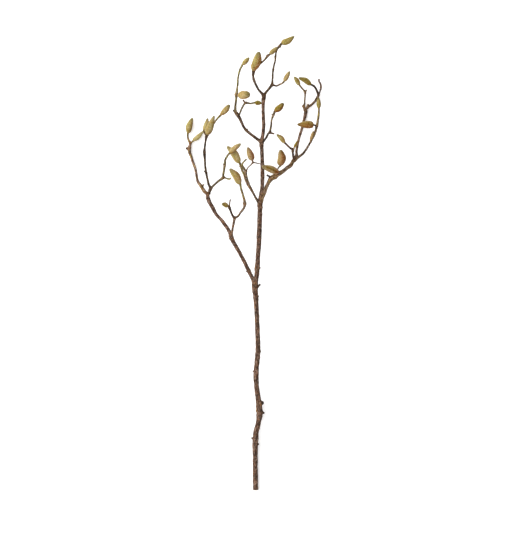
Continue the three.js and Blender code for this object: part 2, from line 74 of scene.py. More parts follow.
main_stem = {"tone": (0.42, 0.4), "points": [
    (-1, 0, 6.7, 6.6), (-2, 48, 10, 6.5), (-2, 86, 13.5, 6.4), (-2, 113, 16, 7.3), (0, 143, 18, 7.1),
    (6, 170, 19.5, 6.5), (9, 191, 21, 8), (8, 205, 22, 7.8), (7, 220, 23, 7.2), (4, 239, 25, 6.7),
    (1, 266, 27.5, 6.4), (0, 292, 30, 6.9), (2, 317, 31.5, 6.5), (5, 346, 33, 6.4), (5, 365, 34.5, 6.3),
    (4, 393, 37, 6.2), (3, 422, 40, 5.9), (1, 460, 43, 6.2), (0, 480, 44.5, 6.5), (-2, 499, 45.5, 6.8),
    (-3, 516, 46.5, 7.6), (1, 532, 48, 5.6), (3, 557, 50, 6.6), (5, 586, 53, 5.9), (7, 615, 56.5, 6.2),
    (8, 643, 59, 6.6), (9, 672, 61, 6.3), (10, 701, 63, 6.2), (10, 720, 64.5, 6.2), (12, 739, 66, 4.8),
    (15, 758, 67, 4.8), (16, 777, 68, 5), (16, 810, 70, 5), (15, 845, 72, 4.7), (14, 873, 74, 5.4),
    (16, 883, 75, 4.5), (18, 897, 76, 4.4), (19, 915, 77.5, 4.3), (18, 950, 80, 4), (18, 967, 81.5, 4.3),
    (20, 988, 84, 4.4)]}

left_limb = {"tone": (0.36, 0.48), "points": [
    (-3, 512, 46, 5.6), (-5, 523, 46.5, 5.4), (-12, 537, 46.5, 5), (-18, 550, 46, 5.2), (-28, 571, 45, 4.8),
    (-39, 592, 43.5, 4.9), (-51, 613, 42, 5.2), (-61, 632, 41, 5.6), (-65, 645, 40, 5), (-73, 659, 38, 4.6),
    (-86, 677, 36, 4.4), (-99, 691, 34, 4.3), (-109.5, 710, 32, 5), (-117, 723, 31, 5.1),
    (-120.5, 733, 30, 5), (-121.5, 746, 29, 4.8)]}

right_limb = {"olive": 0.15, "tone": (0.7, 0.68), "points": [
    (12, 722, 64.5, 5), (15, 733, 66, 5.2), (20, 743, 67, 4.8), (25, 757, 68, 4.6), (30.5, 769, 69, 4.9),
    (38, 781, 69.5, 6.1), (48, 787, 69, 6.8), (57, 793, 68, 6.1), (67.5, 799.5, 66, 4.9),
    (77, 807, 63, 4.7), (87, 814.5, 59, 4.9), (92, 823, 55, 4.2), (98, 830, 52, 4.6)]}

# Limbs of the second order: outer left, inner left, left at the crown, lower right.
small_limbs = [
    {"tone": (0.6, 0.64), "points": [
        (-119, 742, 29.5, 4), (-130, 750.5, 27, 4.6), (-137, 762.5, 24, 4.3), (-144.5, 772, 21, 3.7),
        (-147.5, 780, 18.5, 3.5), (-149.5, 792, 15, 3.3), (-153, 809, 10.5, 3.3), (-158.5, 823, 7, 3.4),
        (-163, 838, 4.8, 3.4), (-167, 848, 4.8, 3.9), (-168, 858, 5, 4.9), (-165.5, 867, 6.5, 3.3),
        (-165, 872, 7.5, 3.3)]},
    {"tone": (0.55, 0.55), "points": [
        (-62, 640, 41, 4.1), (-60, 648, 44, 3), (-58, 659, 51, 2.8), (-55, 674, 60, 3.2),
        (-53, 684, 66, 3.7)]},
    {"olive": 0.3, "tone": (0.3, 0.26), "points": [
        (12, 873, 74.5, 4.2), (0.5, 881.5, 74, 3.7), (-12, 891, 72, 3.5), (-24, 901, 69, 3.5),
        (-31, 910.5, 66, 3.2), (-36.5, 922.5, 63, 3.5), (-41.5, 933.5, 60, 3.9), (-46, 941, 58, 4.3),
        (-56, 952, 54, 3)]},
    {"tone": (0.55, 0.55), "points": [
        (98, 828, 51, 4.2), (101.5, 839, 47, 4.3), (101, 848, 43, 3.2), (103.3, 862, 37, 3.1),
        (107, 880, 29, 3.3), (112, 897, 21, 3.5), (115, 906, 17, 3.7), (120, 927, 10, 3.6),
        (122.5, 937, 7.5, 4.2), (124.5, 950, 5.5, 4.6), (123.5, 957, 4.8, 4.7)]},
]

# Twigs. One with a bud has a flat end square to its bud, whose tip is given.
twigs = [
    # Left limb, outer fork, down at the elbow.
    {"bud": "bud_09", "tip": (-160, 934, 15), "tone": (0.66, 0.74), "points": [
        (-164.5, 871, 7.5, 3.1), (-169.5, 879, 8.5, 2.6), (-171.5, 888, 9.5, 2.4), (-171, 896, 10, 2.5)]},
    {"bud": "bud_10", "tip": (-132, 901, 13), "tone": (0.8, 0.88), "points": [
        (-164.5, 871, 7.5, 2.4), (-158, 876.5, 8.5, 2.3)]},
    # Left limb, middle fork, up to the cluster.
    {"bud": "bud_12", "olive": 0.5, "tip": (-104, 937, 100), "tone": (0.34, 0.24), "points": [
        (-119, 742, 29.5, 4), (-116, 752, 31, 3.9), (-114, 757, 33, 3.9), (-118, 766, 37, 3.2),
        (-122, 783, 44, 2.8), (-125, 798, 50, 3), (-127, 812, 56, 2.9), (-128, 831, 64, 3.1),
        (-129, 846, 70, 4.1), (-128, 859, 74, 2.8), (-126, 872, 78, 2.5), (-124, 884, 81, 2.8),
        (-122, 890, 86, 2.3)]},
    {"bud": "bud_11", "olive": 0.4, "tip": (-121, 932, 70), "tone": (0.6, 0.7), "points": [
        (-124, 884, 81, 2.4), (-126.5, 891, 75, 2.2)]},
    {"bud": "bud_13", "olive": 0.3, "tip": (-66, 965, 69), "tone": (0.6, 0.86), "points": [
        (-125, 879, 80, 2.2), (-120, 888, 69, 1.8), (-115, 900, 62, 1.7), (-101.5, 924.5, 61, 2.4),
        (-94, 934, 63, 2.7), (-89, 939, 64, 2.8)]},
    {"bud": "bud_14", "olive": 0.75, "tip": (-38, 868, 85), "tone": (0.28, 0.86), "points": [
        (-115, 753, 32, 3), (-111, 759, 35, 2.9), (-101, 769, 42, 2.7), (-91, 777, 50, 3),
        (-82, 784, 57, 3.9), (-82, 790, 61, 3), (-80, 802, 68, 2.9), (-78, 815, 74, 3.5), (-77, 826, 77, 3),
        (-71, 838, 80, 2.7), (-66, 844, 81, 2.6)]},
    # Left limb, inner fork.
    {"tone": (0.3, 0.2), "points": [
        (-53, 682, 65, 3.3), (-59.5, 690, 71, 2.7), (-63.5, 701, 78, 2.8), (-67, 710, 84, 3.2)]},
    {"bud": "bud_18", "olive": 0.4, "tip": (-85, 718, 96), "tone": (0.4, 0.7), "points": [
        (-66, 709, 83, 2.2), (-70, 711, 86, 2)]},
    {"bud": "bud_17", "olive": 0.3, "tip": (-65, 805, 112), "tone": (0.42, 0.86), "points": [
        (-54, 683, 66, 3.4), (-46, 686, 68, 2.6), (-38, 697, 72, 2.8), (-30, 708, 77, 3.1),
        (-28, 718, 81, 4.3), (-30.5, 733, 87, 2.9), (-36, 751, 94, 2.8), (-39.5, 767, 99, 2.9)]},
    # Main stem, left twig at the crown fork, with its side shoots.
    {"olive": 0.4, "tone": (0.3, 0.9), "points": [
        (8, 718, 66, 3.4), (2, 728, 68, 3), (-5, 741, 71, 2.8), (-13, 756, 73, 2.8), (-20, 773, 75, 2.7),
        (-25, 791, 76, 2.8), (-26, 797, 76.5, 3.3), (-30, 806, 77, 2.9), (-35, 815, 78, 2.6),
        (-31, 822, 79, 1.9), (-24, 829, 80, 2.1)]},
    {"bud": "bud_15", "tip": (-72, 862, 61), "tone": (0.6, 0.95), "points": [
        (-14, 756, 72.5, 2.8), (-22, 768, 70.5, 2.6), (-27, 779, 69.5, 2.2), (-30, 791, 69, 2.6),
        (-34.5, 801.5, 69, 2.6), (-37.5, 811.5, 69.5, 3.1), (-41, 820.5, 69, 2.8)]},
    {"tone": (0.55, 0.5), "points": [
        (-26, 796, 76, 1.9), (-20, 808, 73, 1.6), (-13, 815, 70, 1.6), (-7, 821, 67, 2.1),
        (0, 820, 63, 1.4), (10, 818, 58, 1.2)]},
    {"bud": "bud_16", "tip": (-21, 859, 80), "tone": (0.55, 0.6), "points": [
        (-8, 819, 67, 1.8), (-9, 826.5, 69.5, 2)]},
    # Crown, left.
    {"bud": "bud_04", "olive": 0.8, "tip": (-17, 1082, 92), "tone": (0.6, 0.98), "points": [
        (-49, 944, 57, 3.5), (-51.5, 952, 59, 3.1), (-51, 967, 64, 3), (-49.5, 980, 68, 3.1),
        (-49, 991, 71, 4.5), (-48, 999, 73, 3.4), (-47, 1006, 75, 2.8), (-45.5, 1018, 78, 2.6),
        (-45, 1031, 81, 2.4), (-43, 1041, 83, 2.5), (-40, 1052, 85, 2.7), (-36.5, 1059, 86, 2.8),
        (-34, 1064, 87, 2.8)]},
    {"bud": "bud_06", "tip": (-16, 990, 103), "tone": (0.7, 0.8), "points": [
        (-49, 990, 71, 2.4), (-44, 988, 76, 2.2)]},
    {"bud": "bud_07", "olive": 0.8, "tip": (15, 970, 56), "tone": (0.42, 0.95), "points": [
        (-43, 937, 59, 2.4), (-41, 943, 58, 2.1), (-36, 955, 57, 2.3), (-30, 966.5, 56, 2.4),
        (-25, 971, 56, 2.8), (-15, 969, 55, 2.2), (-3, 971, 54, 2.3)]},
    # Crown, right of the main stem.
    {"bud": "bud_08", "olive": 0.6, "tip": (68.5, 967, 123), "tone": (0.0, 0.8), "points": [
        (16, 871, 76, 2.8), (25, 882, 82, 2.6), (31, 893, 89, 2.8), (34.5, 896, 92, 3.4),
        (36, 903, 95, 2.6), (38, 915, 100, 2.4), (39, 927, 105, 2.2), (43, 938, 109, 3.3),
        (47, 947, 112, 3)]},
    # Right limb, two buds at its bend.
    {"bud": "bud_19", "tip": (15, 811, 103), "tone": (0.62, 0.62), "points": [
        (56, 794, 70, 2.6), (59, 795, 77, 2.4), (56, 796, 80, 2.2)]},
    {"bud": "bud_20", "tip": (62, 852, 91), "tone": (0.66, 0.8), "points": [
        (57, 796, 69, 2.2), (54, 803, 71, 1.8), (57, 809, 74, 1.8), (61, 813, 77, 2.2)]},
    # Right limb, short fork.
    {"bud": "bud_21", "tip": (52, 891, 85), "tone": (0.4, 0.4), "points": [
        (96, 825, 53, 3.4), (94, 832, 58, 3), (92, 845, 65, 2.9), (92, 853, 69, 3.7), (86, 857, 72, 2.6),
        (78, 864, 75, 2.4), (72, 870, 78, 2.5)]},
    {"bud": "bud_22", "olive": 0.4, "tip": (103, 875, 80), "tone": (0.6, 0.9), "points": [
        (92, 852, 69, 2), (95, 857, 72, 1.7)]},
    # Right limb, lower fork, with the twigs past the place where it rests.
    {"bud": "bud_26", "olive": 0.4, "tip": (96, 1037, 31), "tone": (0.56, 0.66), "points": [
        (123, 956, 6, 3.3), (120, 962, 8.5, 3), (122, 971, 12, 2.6), (122, 977, 14.5, 2.2),
        (123, 988, 19, 2.1), (123, 999, 23, 3), (118, 1005, 25, 2), (113, 1011, 27, 2),
        (109, 1016, 28, 2.1)]},
    {"bud": "bud_27", "olive": 0.3, "tip": (107, 1034, 45), "tone": (0.6, 0.06), "points": [
        (124.5, 956, 6, 3.2), (130.5, 962, 6.5, 3.3), (137.5, 966, 7.5, 3), (146, 974, 10, 2.9),
        (151.5, 980.5, 12, 3.3), (154.5, 986, 14, 3.6), (156, 990, 16, 3.1), (154, 999, 21, 2.8),
        (150, 1007, 26, 2.7), (145, 1013.5, 31, 2.9), (138, 1017, 34, 2.5)]},
    {"tone": (0.4, 0.48), "points": [
        (154, 985, 14, 2.6), (157, 991, 16.5, 2.5), (160, 999.5, 19, 2), (163, 1010, 21, 2.5),
        (161.5, 1020, 22, 2.3), (158, 1026, 23, 2.2), (158, 1031, 24, 2.2)]},
    # Right limb, outer fork.
    {"bud": "bud_25", "olive": 0.4, "tip": (156, 983, 77), "tone": (0.4, 0.74), "points": [
        (97, 829, 52.5, 3.8), (108, 836, 55, 3), (117, 843, 57, 3), (126, 855, 59, 2.9),
        (136.5, 873, 62, 2.5), (145, 889, 65, 3), (150, 904, 67, 3.2), (152, 913, 68, 3.7),
        (155.5, 932, 70, 3.1), (157, 944, 71, 2.8), (157, 956, 72, 2.5)]},
    {"bud": "bud_23", "tip": (103, 916, 75), "tone": (0.36, 0.3), "points": [
        (152, 912, 68.5, 2.2), (147, 914, 71, 1.9), (144, 915, 72, 2.1)]},
    {"bud": "bud_24", "tip": (143.5, 900, 77), "tone": (0.5, 0.6), "points": [
        (137.5, 873, 63, 2), (136, 876, 68, 1.7)]},
    # Top fork, left.
    {"bud": "bud_03", "olive": 0.2, "tip": (8, 1095, 131), "tone": (0.24, 0.3), "points": [
        (20, 984, 84, 4.2), (15.5, 991.5, 88, 3.5), (7, 1001.5, 94, 2.8), (-0.5, 1014.5, 101, 2.9),
        (-5, 1025, 106, 3.4), (-7, 1034, 111, 2.8), (-7, 1044, 116, 3.1), (-7, 1048, 118, 3.3)]},
    {"bud": "bud_02", "olive": 0.3, "tip": (53, 1108, 101), "tone": (0.5, 0.66), "points": [
        (-7, 1040, 113.5, 2.8), (-1, 1053, 106, 2.4), (7, 1063, 101, 2.3), (15, 1070.5, 99, 2.3),
        (22.5, 1077.5, 98, 2.6), (28.5, 1085.5, 98, 3.3), (34, 1090, 98, 2.8)]},
    # Top fork, right.
    {"bud": "bud_01", "olive": 0.5, "tip": (96, 1136, 72), "tone": (0.26, 0.5), "points": [
        (20, 984, 84, 4.2), (23, 993, 83, 3.4), (30, 1002, 81, 3.2), (37, 1011, 79, 3.4),
        (40, 1015, 78, 3.6), (41, 1025, 76, 2.6), (42, 1044, 73, 2.4), (43, 1053, 72, 2.7),
        (45, 1064, 70, 2.3), (48, 1076, 69, 2.3), (48.5, 1084, 68, 2.8), (50, 1095, 67, 2.2),
        (52.5, 1104, 67, 2.9), (58.5, 1111.5, 67, 3.4), (64, 1118, 67, 3.1)]},
    {"bud": "bud_05", "olive": 0.3, "tip": (84, 1048, 93), "tone": (0.25, 0.76), "points": [
        (40, 1014, 78, 2.6), (47, 1013, 79, 2.2), (51, 1012, 80, 2.3), (58, 1015, 82, 2.3),
        (66, 1019, 84, 2.3), (70, 1023, 86, 2.4)]},
]

# Short dead ends: knobs and broken twigs.
stubs = [
    {"tone": (0.4, 0.2), "points": [(-1, 128, 17, 2.8), (-11, 131, 18, 2.2)]},
    {"tone": (0.4, 0.15), "points": [(-2, 112, 16, 2.8), (7, 116, 17, 2.2)]},
    {"tone": (0.4, 0.05), "points": [(9, 199, 21, 4.6), (20, 193.5, 22.5, 2.9)]},
    {"tone": (0.4, 0.05), "points": [(7, 218, 23, 5.4), (17.5, 219.5, 24, 4.6)]},
    {"tone": (0.4, 0.3), "points": [(0, 296, 30, 2.4), (-8, 299, 31, 1.9)]},
    {"tone": (0.4, 0.3), "points": [(5, 345, 33, 2.4), (12, 349, 35, 2)]},
    {"tone": (0.4, 0.3), "points": [(0, 484, 45, 2), (7, 487, 46, 1.7)]},
    {"tone": (0.4, 0.05), "points": [(0, 505, 46, 3.2), (10, 516.5, 49, 2.4)]},
    {"tone": (0.6, 0.8), "points": [(-138, 762, 24, 2.4), (-130.5, 766.5, 26, 2)]},
    {"tone": (0.6, 0.3), "points": [(-167, 857, 5.8, 3.6), (-175, 858, 6, 3)]},
    {"tone": (0.3, 0.1), "points": [(-124, 796, 49, 2), (-130, 800, 52, 1.6)]},
    {"tone": (0.7, 0.7), "points": [(-125, 887, 82, 2), (-132, 902, 84, 1.4)]},
    {"tone": (0.9, 1.0), "points": [
        (-82, 784, 57, 2.3), (-75, 782, 57, 2), (-68, 780, 56, 2.3), (-63, 782, 56, 2.2)]},
    {"tone": (0.3, 0.5), "points": [(-67, 709, 83, 2.2), (-66, 718, 89, 1.9), (-64, 728, 94, 1.8)]},
    {"tone": (0.6, 0.5), "points": [(-26, 969, 56, 2.5), (-32, 977, 58, 2.2)]},
    {"tone": (0.6, 0.5), "points": [(34, 895, 91, 2.4), (45, 892, 93, 2)]},
    {"tone": (0.3, 0.02), "points": [(39, 781, 71, 3), (33, 786, 73, 2.7), (27.5, 789.5, 75, 2.3)]},
    {"tone": (0.4, 0.4), "points": [(18, 991, 87, 2.4), (11, 997, 90, 1.8)]},
    {"tone": (0.6, 0.6), "points": [(122, 960, 8, 2.8), (116.5, 965, 9.5, 2.4)]},
    {"tone": (0.6, 0.6), "points": [(123, 998, 23, 2.1), (127, 1004, 24.5, 1.6)]},
    {"tone": (0.6, 0.7), "points": [(129, 961, 6.8, 2.8), (130.5, 968, 11, 2.6)]},
]


def in_frame(x, y, height):
    """A place measured from the cut end, in millimetres, as metres in the frame."""
    return (Vector((x, y, height)) - MIDDLE_FROM_CUT_END) * MM


DRAWN_STEP = 0.25 * MM  # the curve is followed in steps of this length
CLOSEST_KNOTS = 1e-4  # the root of a distance in metres, so that nothing is divided by 0


def follow(points):
    """The smooth curve through a length's rows, as (distance from the root, place, radius)."""
    knots = [in_frame(*row[:3]) for row in points]
    before = knots[0] * 2 - knots[1]
    after = knots[-1] * 2 - knots[-2]
    knots = [before, *knots, after]
    walked = []
    distance = 0.0
    for span in range(len(points) - 1):
        one, two, three, four = knots[span:span + 4]
        stretches = ((one, two), (two, three), (three, four))
        gaps = [max((b - a).length ** 0.5, CLOSEST_KNOTS) for a, b in stretches]
        leaving = (two - one) / gaps[0] - (three - one) / (gaps[0] + gaps[1]) + (three - two) / gaps[1]
        arriving = (three - two) / gaps[1] - (four - two) / (gaps[1] + gaps[2]) + (four - three) / gaps[2]
        leaving *= gaps[1]
        arriving *= gaps[1]
        steps = max(2, round((three - two).length / DRAWN_STEP))
        for step in range(steps + (span == len(points) - 2)):
            t = step / steps
            place = (two * (2 * t ** 3 - 3 * t ** 2 + 1) + leaving * (t ** 3 - 2 * t ** 2 + t)
                     + three * (3 * t ** 2 - 2 * t ** 3) + arriving * (t ** 3 - t ** 2))
            eased = t * t * (3 - 2 * t)
            radius = (points[span][3] * (1 - eased) + points[span + 1][3] * eased) * MM
            if walked:
                distance += (place - walked[-1][1]).length
            walked.append((distance, place, radius))
    return walked


# Scars. A ring scar goes right round the twig wherever a leaf stood; each
# season's growth starts with a few rings close together, and a few more lie
# just under a bud.
RING_GAP = 1.1 * MM
RING_PAST_NODE = 0.5  # in ring gaps
RING_SHORT_OF_NODE = 1.2
RING_UNDER_BUD = 0.7
RINGS_AT_ROOT = 3
RINGS_UNDER_BUD = 3
RING_HALF_WIDTH = 0.38 * MM
RING_HEIGHT = 0.2 * MM
CLEAR_OF_ROOT = 0.6 * MM
CLEAR_OF_END = 0.5 * MM
SWELLING = 1.07  # a node is this much thicker than the row after it, and no thinner than the one before


def scars_of(length, walked, root_cover):
    """Distances from the root at which ring scars lie, and those of the nodes."""
    points = length["points"]
    total = walked[-1][0]
    nodes = []
    for before, row, after in zip(points, points[1:], points[2:]):
        if row[3] > SWELLING * after[3] and row[3] >= before[3]:
            place = in_frame(*row[:3])
            nodes.append(min(walked, key=lambda step: (step[1] - place).length_squared)[0])
    rings = [at + RING_PAST_NODE * RING_GAP for at in nodes]
    rings += [at - RING_SHORT_OF_NODE * RING_GAP for at in nodes]
    if root_cover:
        rings += [root_cover + (1 + number) * RING_GAP for number in range(RINGS_AT_ROOT)]
    if length.get("bud"):
        rings += [total - (RING_UNDER_BUD + number) * RING_GAP for number in range(RINGS_UNDER_BUD)]
    return [at for at in rings if CLEAR_OF_ROOT < at < total - CLEAR_OF_END], nodes


# How finely each kind of length is drawn: sides round it, and the distance from ring to ring.
SKINS = {"stem": (28, 2.0 * MM), "limb": (20, 1.8 * MM), "twig": (14, 1.5 * MM)}
FINE_STEP = 0.3 * MM  # near a ring scar
FINE_REACH = 0.75 * MM
JUST_PAST = 0.01 * MM
SEAT_COLLAR = 1.12  # the twig swells a little under its bud
COLLAR_ROOM = 1.3 * MM
COLLAR_BACK = (0.8, 0.1)  # mm from the twig's end to its collar's two rings
SEAT_GAP = 0.28 * MM  # the twig's end is drawn up to the bud's foot
SEAT_FACE = 0.94  # of the twig's radius
DEAD_END_TURNS = (0, 30, 55, 75)  # degrees up the low dome that closes a dead end
DEAD_END_DOME = 0.5  # of the radius
WORN_RIM = 0.95  # of the stem's radius, at the cut
MERGE_DISTANCE = 1e-6


def pick(piece):
    """Selects one piece alone, so that an operator acts on nothing else."""
    bpy.ops.object.select_all(action="DESELECT")
    piece.select_set(True)
    bpy.context.view_layer.objects.active = piece


def draw_length(length, kind, root_cover=0.0):
    """Adds the skin of one length to the collection and keeps its curve for the bark."""
    walked = follow(length["points"])
    length["walked"] = walked
    length["scars"], length["nodes"] = scars_of(length, walked, root_cover)
    sides, step = SKINS[kind]
    rings = []
    at = 0.0
    index = 0
    while at < walked[-1][0]:
        while walked[index][0] < at:
            index += 1
        rings.append((walked[index][1], walked[index][2]))
        near_scar = any(abs(at - scar) < FINE_REACH for scar in length["scars"])
        at += FINE_STEP if near_scar else step
        if not near_scar:
            ahead = [scar - FINE_REACH for scar in length["scars"] if at - step < scar - FINE_REACH < at]
            at = min([at, *[stop + JUST_PAST for stop in ahead]])
    end, radius = walked[-1][1:]
    if length.get("bud"):
        towards_bud = (in_frame(*length["tip"]) - end).normalized()
        rings = [ring for ring in rings if (ring[0] - end).length > COLLAR_ROOM]
        rings += [(end - towards_bud * back * MM, radius * SEAT_COLLAR) for back in COLLAR_BACK]
        rings.append((end + towards_bud * SEAT_GAP, radius * SEAT_FACE))
    else:
        onward = (end - walked[-4][1]).normalized()
        for turn in DEAD_END_TURNS:
            rise = math.sin(math.radians(turn)) * DEAD_END_DOME * radius
            rings.append((end + onward * rise, radius * math.cos(math.radians(turn))))
    if kind == "stem":
        rings[0] = (rings[0][0], rings[0][1] * WORN_RIM)
        rings.insert(1, (walked[2][1], walked[2][2]))
    curve = bpy.data.curves.new("length", "CURVE")
    curve.dimensions = "3D"
    curve.bevel_depth = 1
    curve.bevel_resolution = sides // 2 - 2
    curve.use_fill_caps = True
    spline = curve.splines.new("POLY")
    spline.points.add(len(rings) - 1)
    for point, (place, ring_radius) in zip(spline.points, rings):
        point.co = (*place, 1)
        point.radius = ring_radius
    skin = bpy.data.objects.new("length", curve)
    lengths_to_join.objects.link(skin)
    pick(skin)
    bpy.ops.object.convert(target="MESH")
    bpy.ops.object.mode_set(mode="EDIT")
    bpy.ops.mesh.select_all(action="SELECT")
    bpy.ops.mesh.remove_doubles(threshold=MERGE_DISTANCE)
    bpy.ops.object.mode_set(mode="OBJECT")
    return skin


lengths_to_join = bpy.data.collections.new("lengths_to_join")
bpy.context.scene.collection.children.link(lengths_to_join)

# What grows from what: the lengths, the kind of skin, and how far the wood that
# they grew from covers their roots.
SHOOTS = [([left_limb], "limb", 7 * MM), ([right_limb], "limb", 6 * MM), (small_limbs, "limb", 4.5 * MM),
          (twigs, "twig", 3.4 * MM), (stubs, "twig", 0.0)]
wood = draw_length(main_stem, "stem")
for shoots, kind, root_cover in SHOOTS:
    for length in shoots:
        draw_length(length, kind, root_cover)
living = [main_stem, left_limb, right_limb, *small_limbs, *twigs]

# Dormant buds: a small hard knob pressed to the wood at each node, turned
# from side to side on the way up, and larger on thicker wood. Each is a short
# length of four rows, whose places and thicknesses are parts of these sizes.
DORMANT_LEAN = 1.6 * MM  # how far its tip lies along the wood from its root
DORMANT_STANDS_OUT = 1.5 * MM
DORMANT_RADIUS = 1.25 * MM
DORMANT_TURN = 2.4  # radians from one to the next
DORMANT_LEAST = 0.55  # its size on the thinnest wood, as a part of these sizes
DORMANT_MOST = 1.25
DORMANT_GROWTH = 6 * MM  # of the wood's radius, for one more in size
DORMANT_CLEARANCE = 2 * MM  # none grows nearer to the table
DORMANT_TONE = (0.55, 0.3)
DORMANT_SEED = 41
draw = random.Random(DORMANT_SEED)
dormant_buds = []
for length in living:
    walked = length["walked"]
    side = draw.uniform(0, 2 * math.pi)
    for node in length["nodes"]:
        step = min(range(1, len(walked) - 1), key=lambda index: abs(walked[index][0] - node))
        _, place, radius = walked[step]
        onward = (walked[step + 1][1] - walked[step - 1][1]).normalized()
        side += DORMANT_TURN
        across = onward.orthogonal().normalized()
        outward = across * math.cos(side) + onward.cross(across) * math.sin(side)
        size = min(DORMANT_MOST, DORMANT_LEAST + radius / DORMANT_GROWTH)
        root = (place, 1.1)
        base = (place + outward * radius * 0.9 + onward * 0.3 * DORMANT_LEAN, 1.15)
        shoulder = (place + outward * (radius + 0.65 * DORMANT_STANDS_OUT * size)
                    + onward * 0.7 * DORMANT_LEAN, 0.9)
        tip = (place + outward * (radius + DORMANT_STANDS_OUT * size) + onward * DORMANT_LEAN * size, 0.4)
        if tip[0].z > DORMANT_CLEARANCE:
            points = [(*(where / MM + MIDDLE_FROM_CUT_END), thick * size * DORMANT_RADIUS / MM)
                      for where, thick in (root, base, shoulder, tip)]
            dormant_buds.append({"tone": DORMANT_TONE, "points": points})
for length in dormant_buds:
    draw_length(length, "twig")
lengths = [*living, *stubs, *dormant_buds]

lengths_to_join.objects.unlink(wood)
bpy.context.scene.collection.objects.link(wood)
wood.name = "branch_wood_grown"
join = wood.modifiers.new("join", "BOOLEAN")
join.operation = "UNION"
join.operand_type = "COLLECTION"
join.collection = lengths_to_join
join.solver = "MANIFOLD"
pick(wood)
bpy.ops.object.modifier_apply(modifier="join")
for skin in list(lengths_to_join.objects):
    bpy.data.objects.remove(skin)
bpy.data.collections.remove(lengths_to_join)

# The bark's own measure: every millimetre of each curve with its direction and
# a side and an upright that turn with it, so relief and colour follow the wood.
CURVE_STEP = 4  # keep one drawn step in four, which is 1 mm
curve_places = []
for number, length in enumerate(lengths):
    kept = length["walked"][::CURVE_STEP] + [length["walked"][-1]]
    side = Vector((0, 0, 1))
    for index, (along, place, radius) in enumerate(kept):
        onward = (kept[min(index + 1, len(kept) - 1)][1] - kept[max(index - 1, 0)][1]).normalized()
        side = (side - onward * side.dot(onward)).normalized()
        curve_places.append((number, along, place, radius, onward, side, onward.cross(side)))
curve_tree = kdtree.KDTree(len(curve_places))
for index, (_, _, place, *_) in enumerate(curve_places):
    curve_tree.insert(place, index)
curve_tree.balance()

FORK_REACH = 8 * MM
FORK_FILL = 0.34  # of the thinner wood's radius
FORK_SPREAD = 2.2  # how wide a fork shows, in fills
FORK_LIMIT = 4  # past this many fills nothing is filled
FORK_CLEAR_OF_END = 1 * MM
FORK_AGREEMENT = 0.2  # less than this, and the two sides face each other
LUMP_SIZE = 8 * MM
LUMP_HEIGHT = 0.13  # of the wood's radius
SMALL_LUMP = 0.4  # of a lump's size
SMALL_LUMP_HEIGHT = 0.04
WRINKLE_SIZE = 1.6 * MM
WRINKLE_LENGTH = 5  # in widths
WRINKLE_HEIGHT = 0.09 * MM
RING_BREAK = 2 * MM  # the size of the gaps in a ring scar
RING_FULL_AT = 6 * MM  # of the wood's radius
LEAF_SCAR_BACK = 0.4 * MM
LEAF_SCAR_LENGTH = 1.7 * MM
LEAF_SCAR_WIDTH = 0.75  # radians
LEAF_SCAR_HEIGHT = 0.4 * MM
KNUCKLE_REACH = 1.3  # of the wood's radius
FORK_KNUCKLE = 0.9
SMOOTH_UNDER_BUD = 1.5 * MM
NEXT_GRAIN = 0.37  # metres between the patterns of two lengths, so that no two are alike
TABLE_CLEARANCE = 0.01 * MM

LEAF_SCAR_SEED = 42
draw = random.Random(LEAF_SCAR_SEED)
for length in lengths:
    length["leaf_scars"] = [(at - LEAF_SCAR_BACK, draw.uniform(-math.pi, math.pi)) for at in length["nodes"]]


def nearest_wood(point):
    """The lengths round a point, nearest surface first.

    Each is (distance to it, outward, along, angle, curve place).
    """
    _, index, _ = curve_tree.find(point)
    best = {}
    for place, index, distance in curve_tree.find_range(point, curve_places[index][3] + FORK_REACH):
        number, _, _, radius, *_ = curve_places[index]
        if number not in best or distance - radius < best[number][0]:
            best[number] = (distance - radius, index)
    found = []
    for _, index in best.values():
        number, along, place, radius, onward, side, upright = curve_places[index]
        offset = point - place
        ahead = offset.dot(onward)
        across = offset - onward * ahead
        angle = math.atan2(across.dot(upright), across.dot(side))
        found.append((across.length - radius, across.normalized(), along + ahead, angle, index))
    return sorted(found, key=lambda wood_near: abs(wood_near[0]))


def round_hill(distance, half_width):
    """1 at the middle, falling smoothly to 0 outside."""
    return math.exp(-(distance / half_width) ** 2)


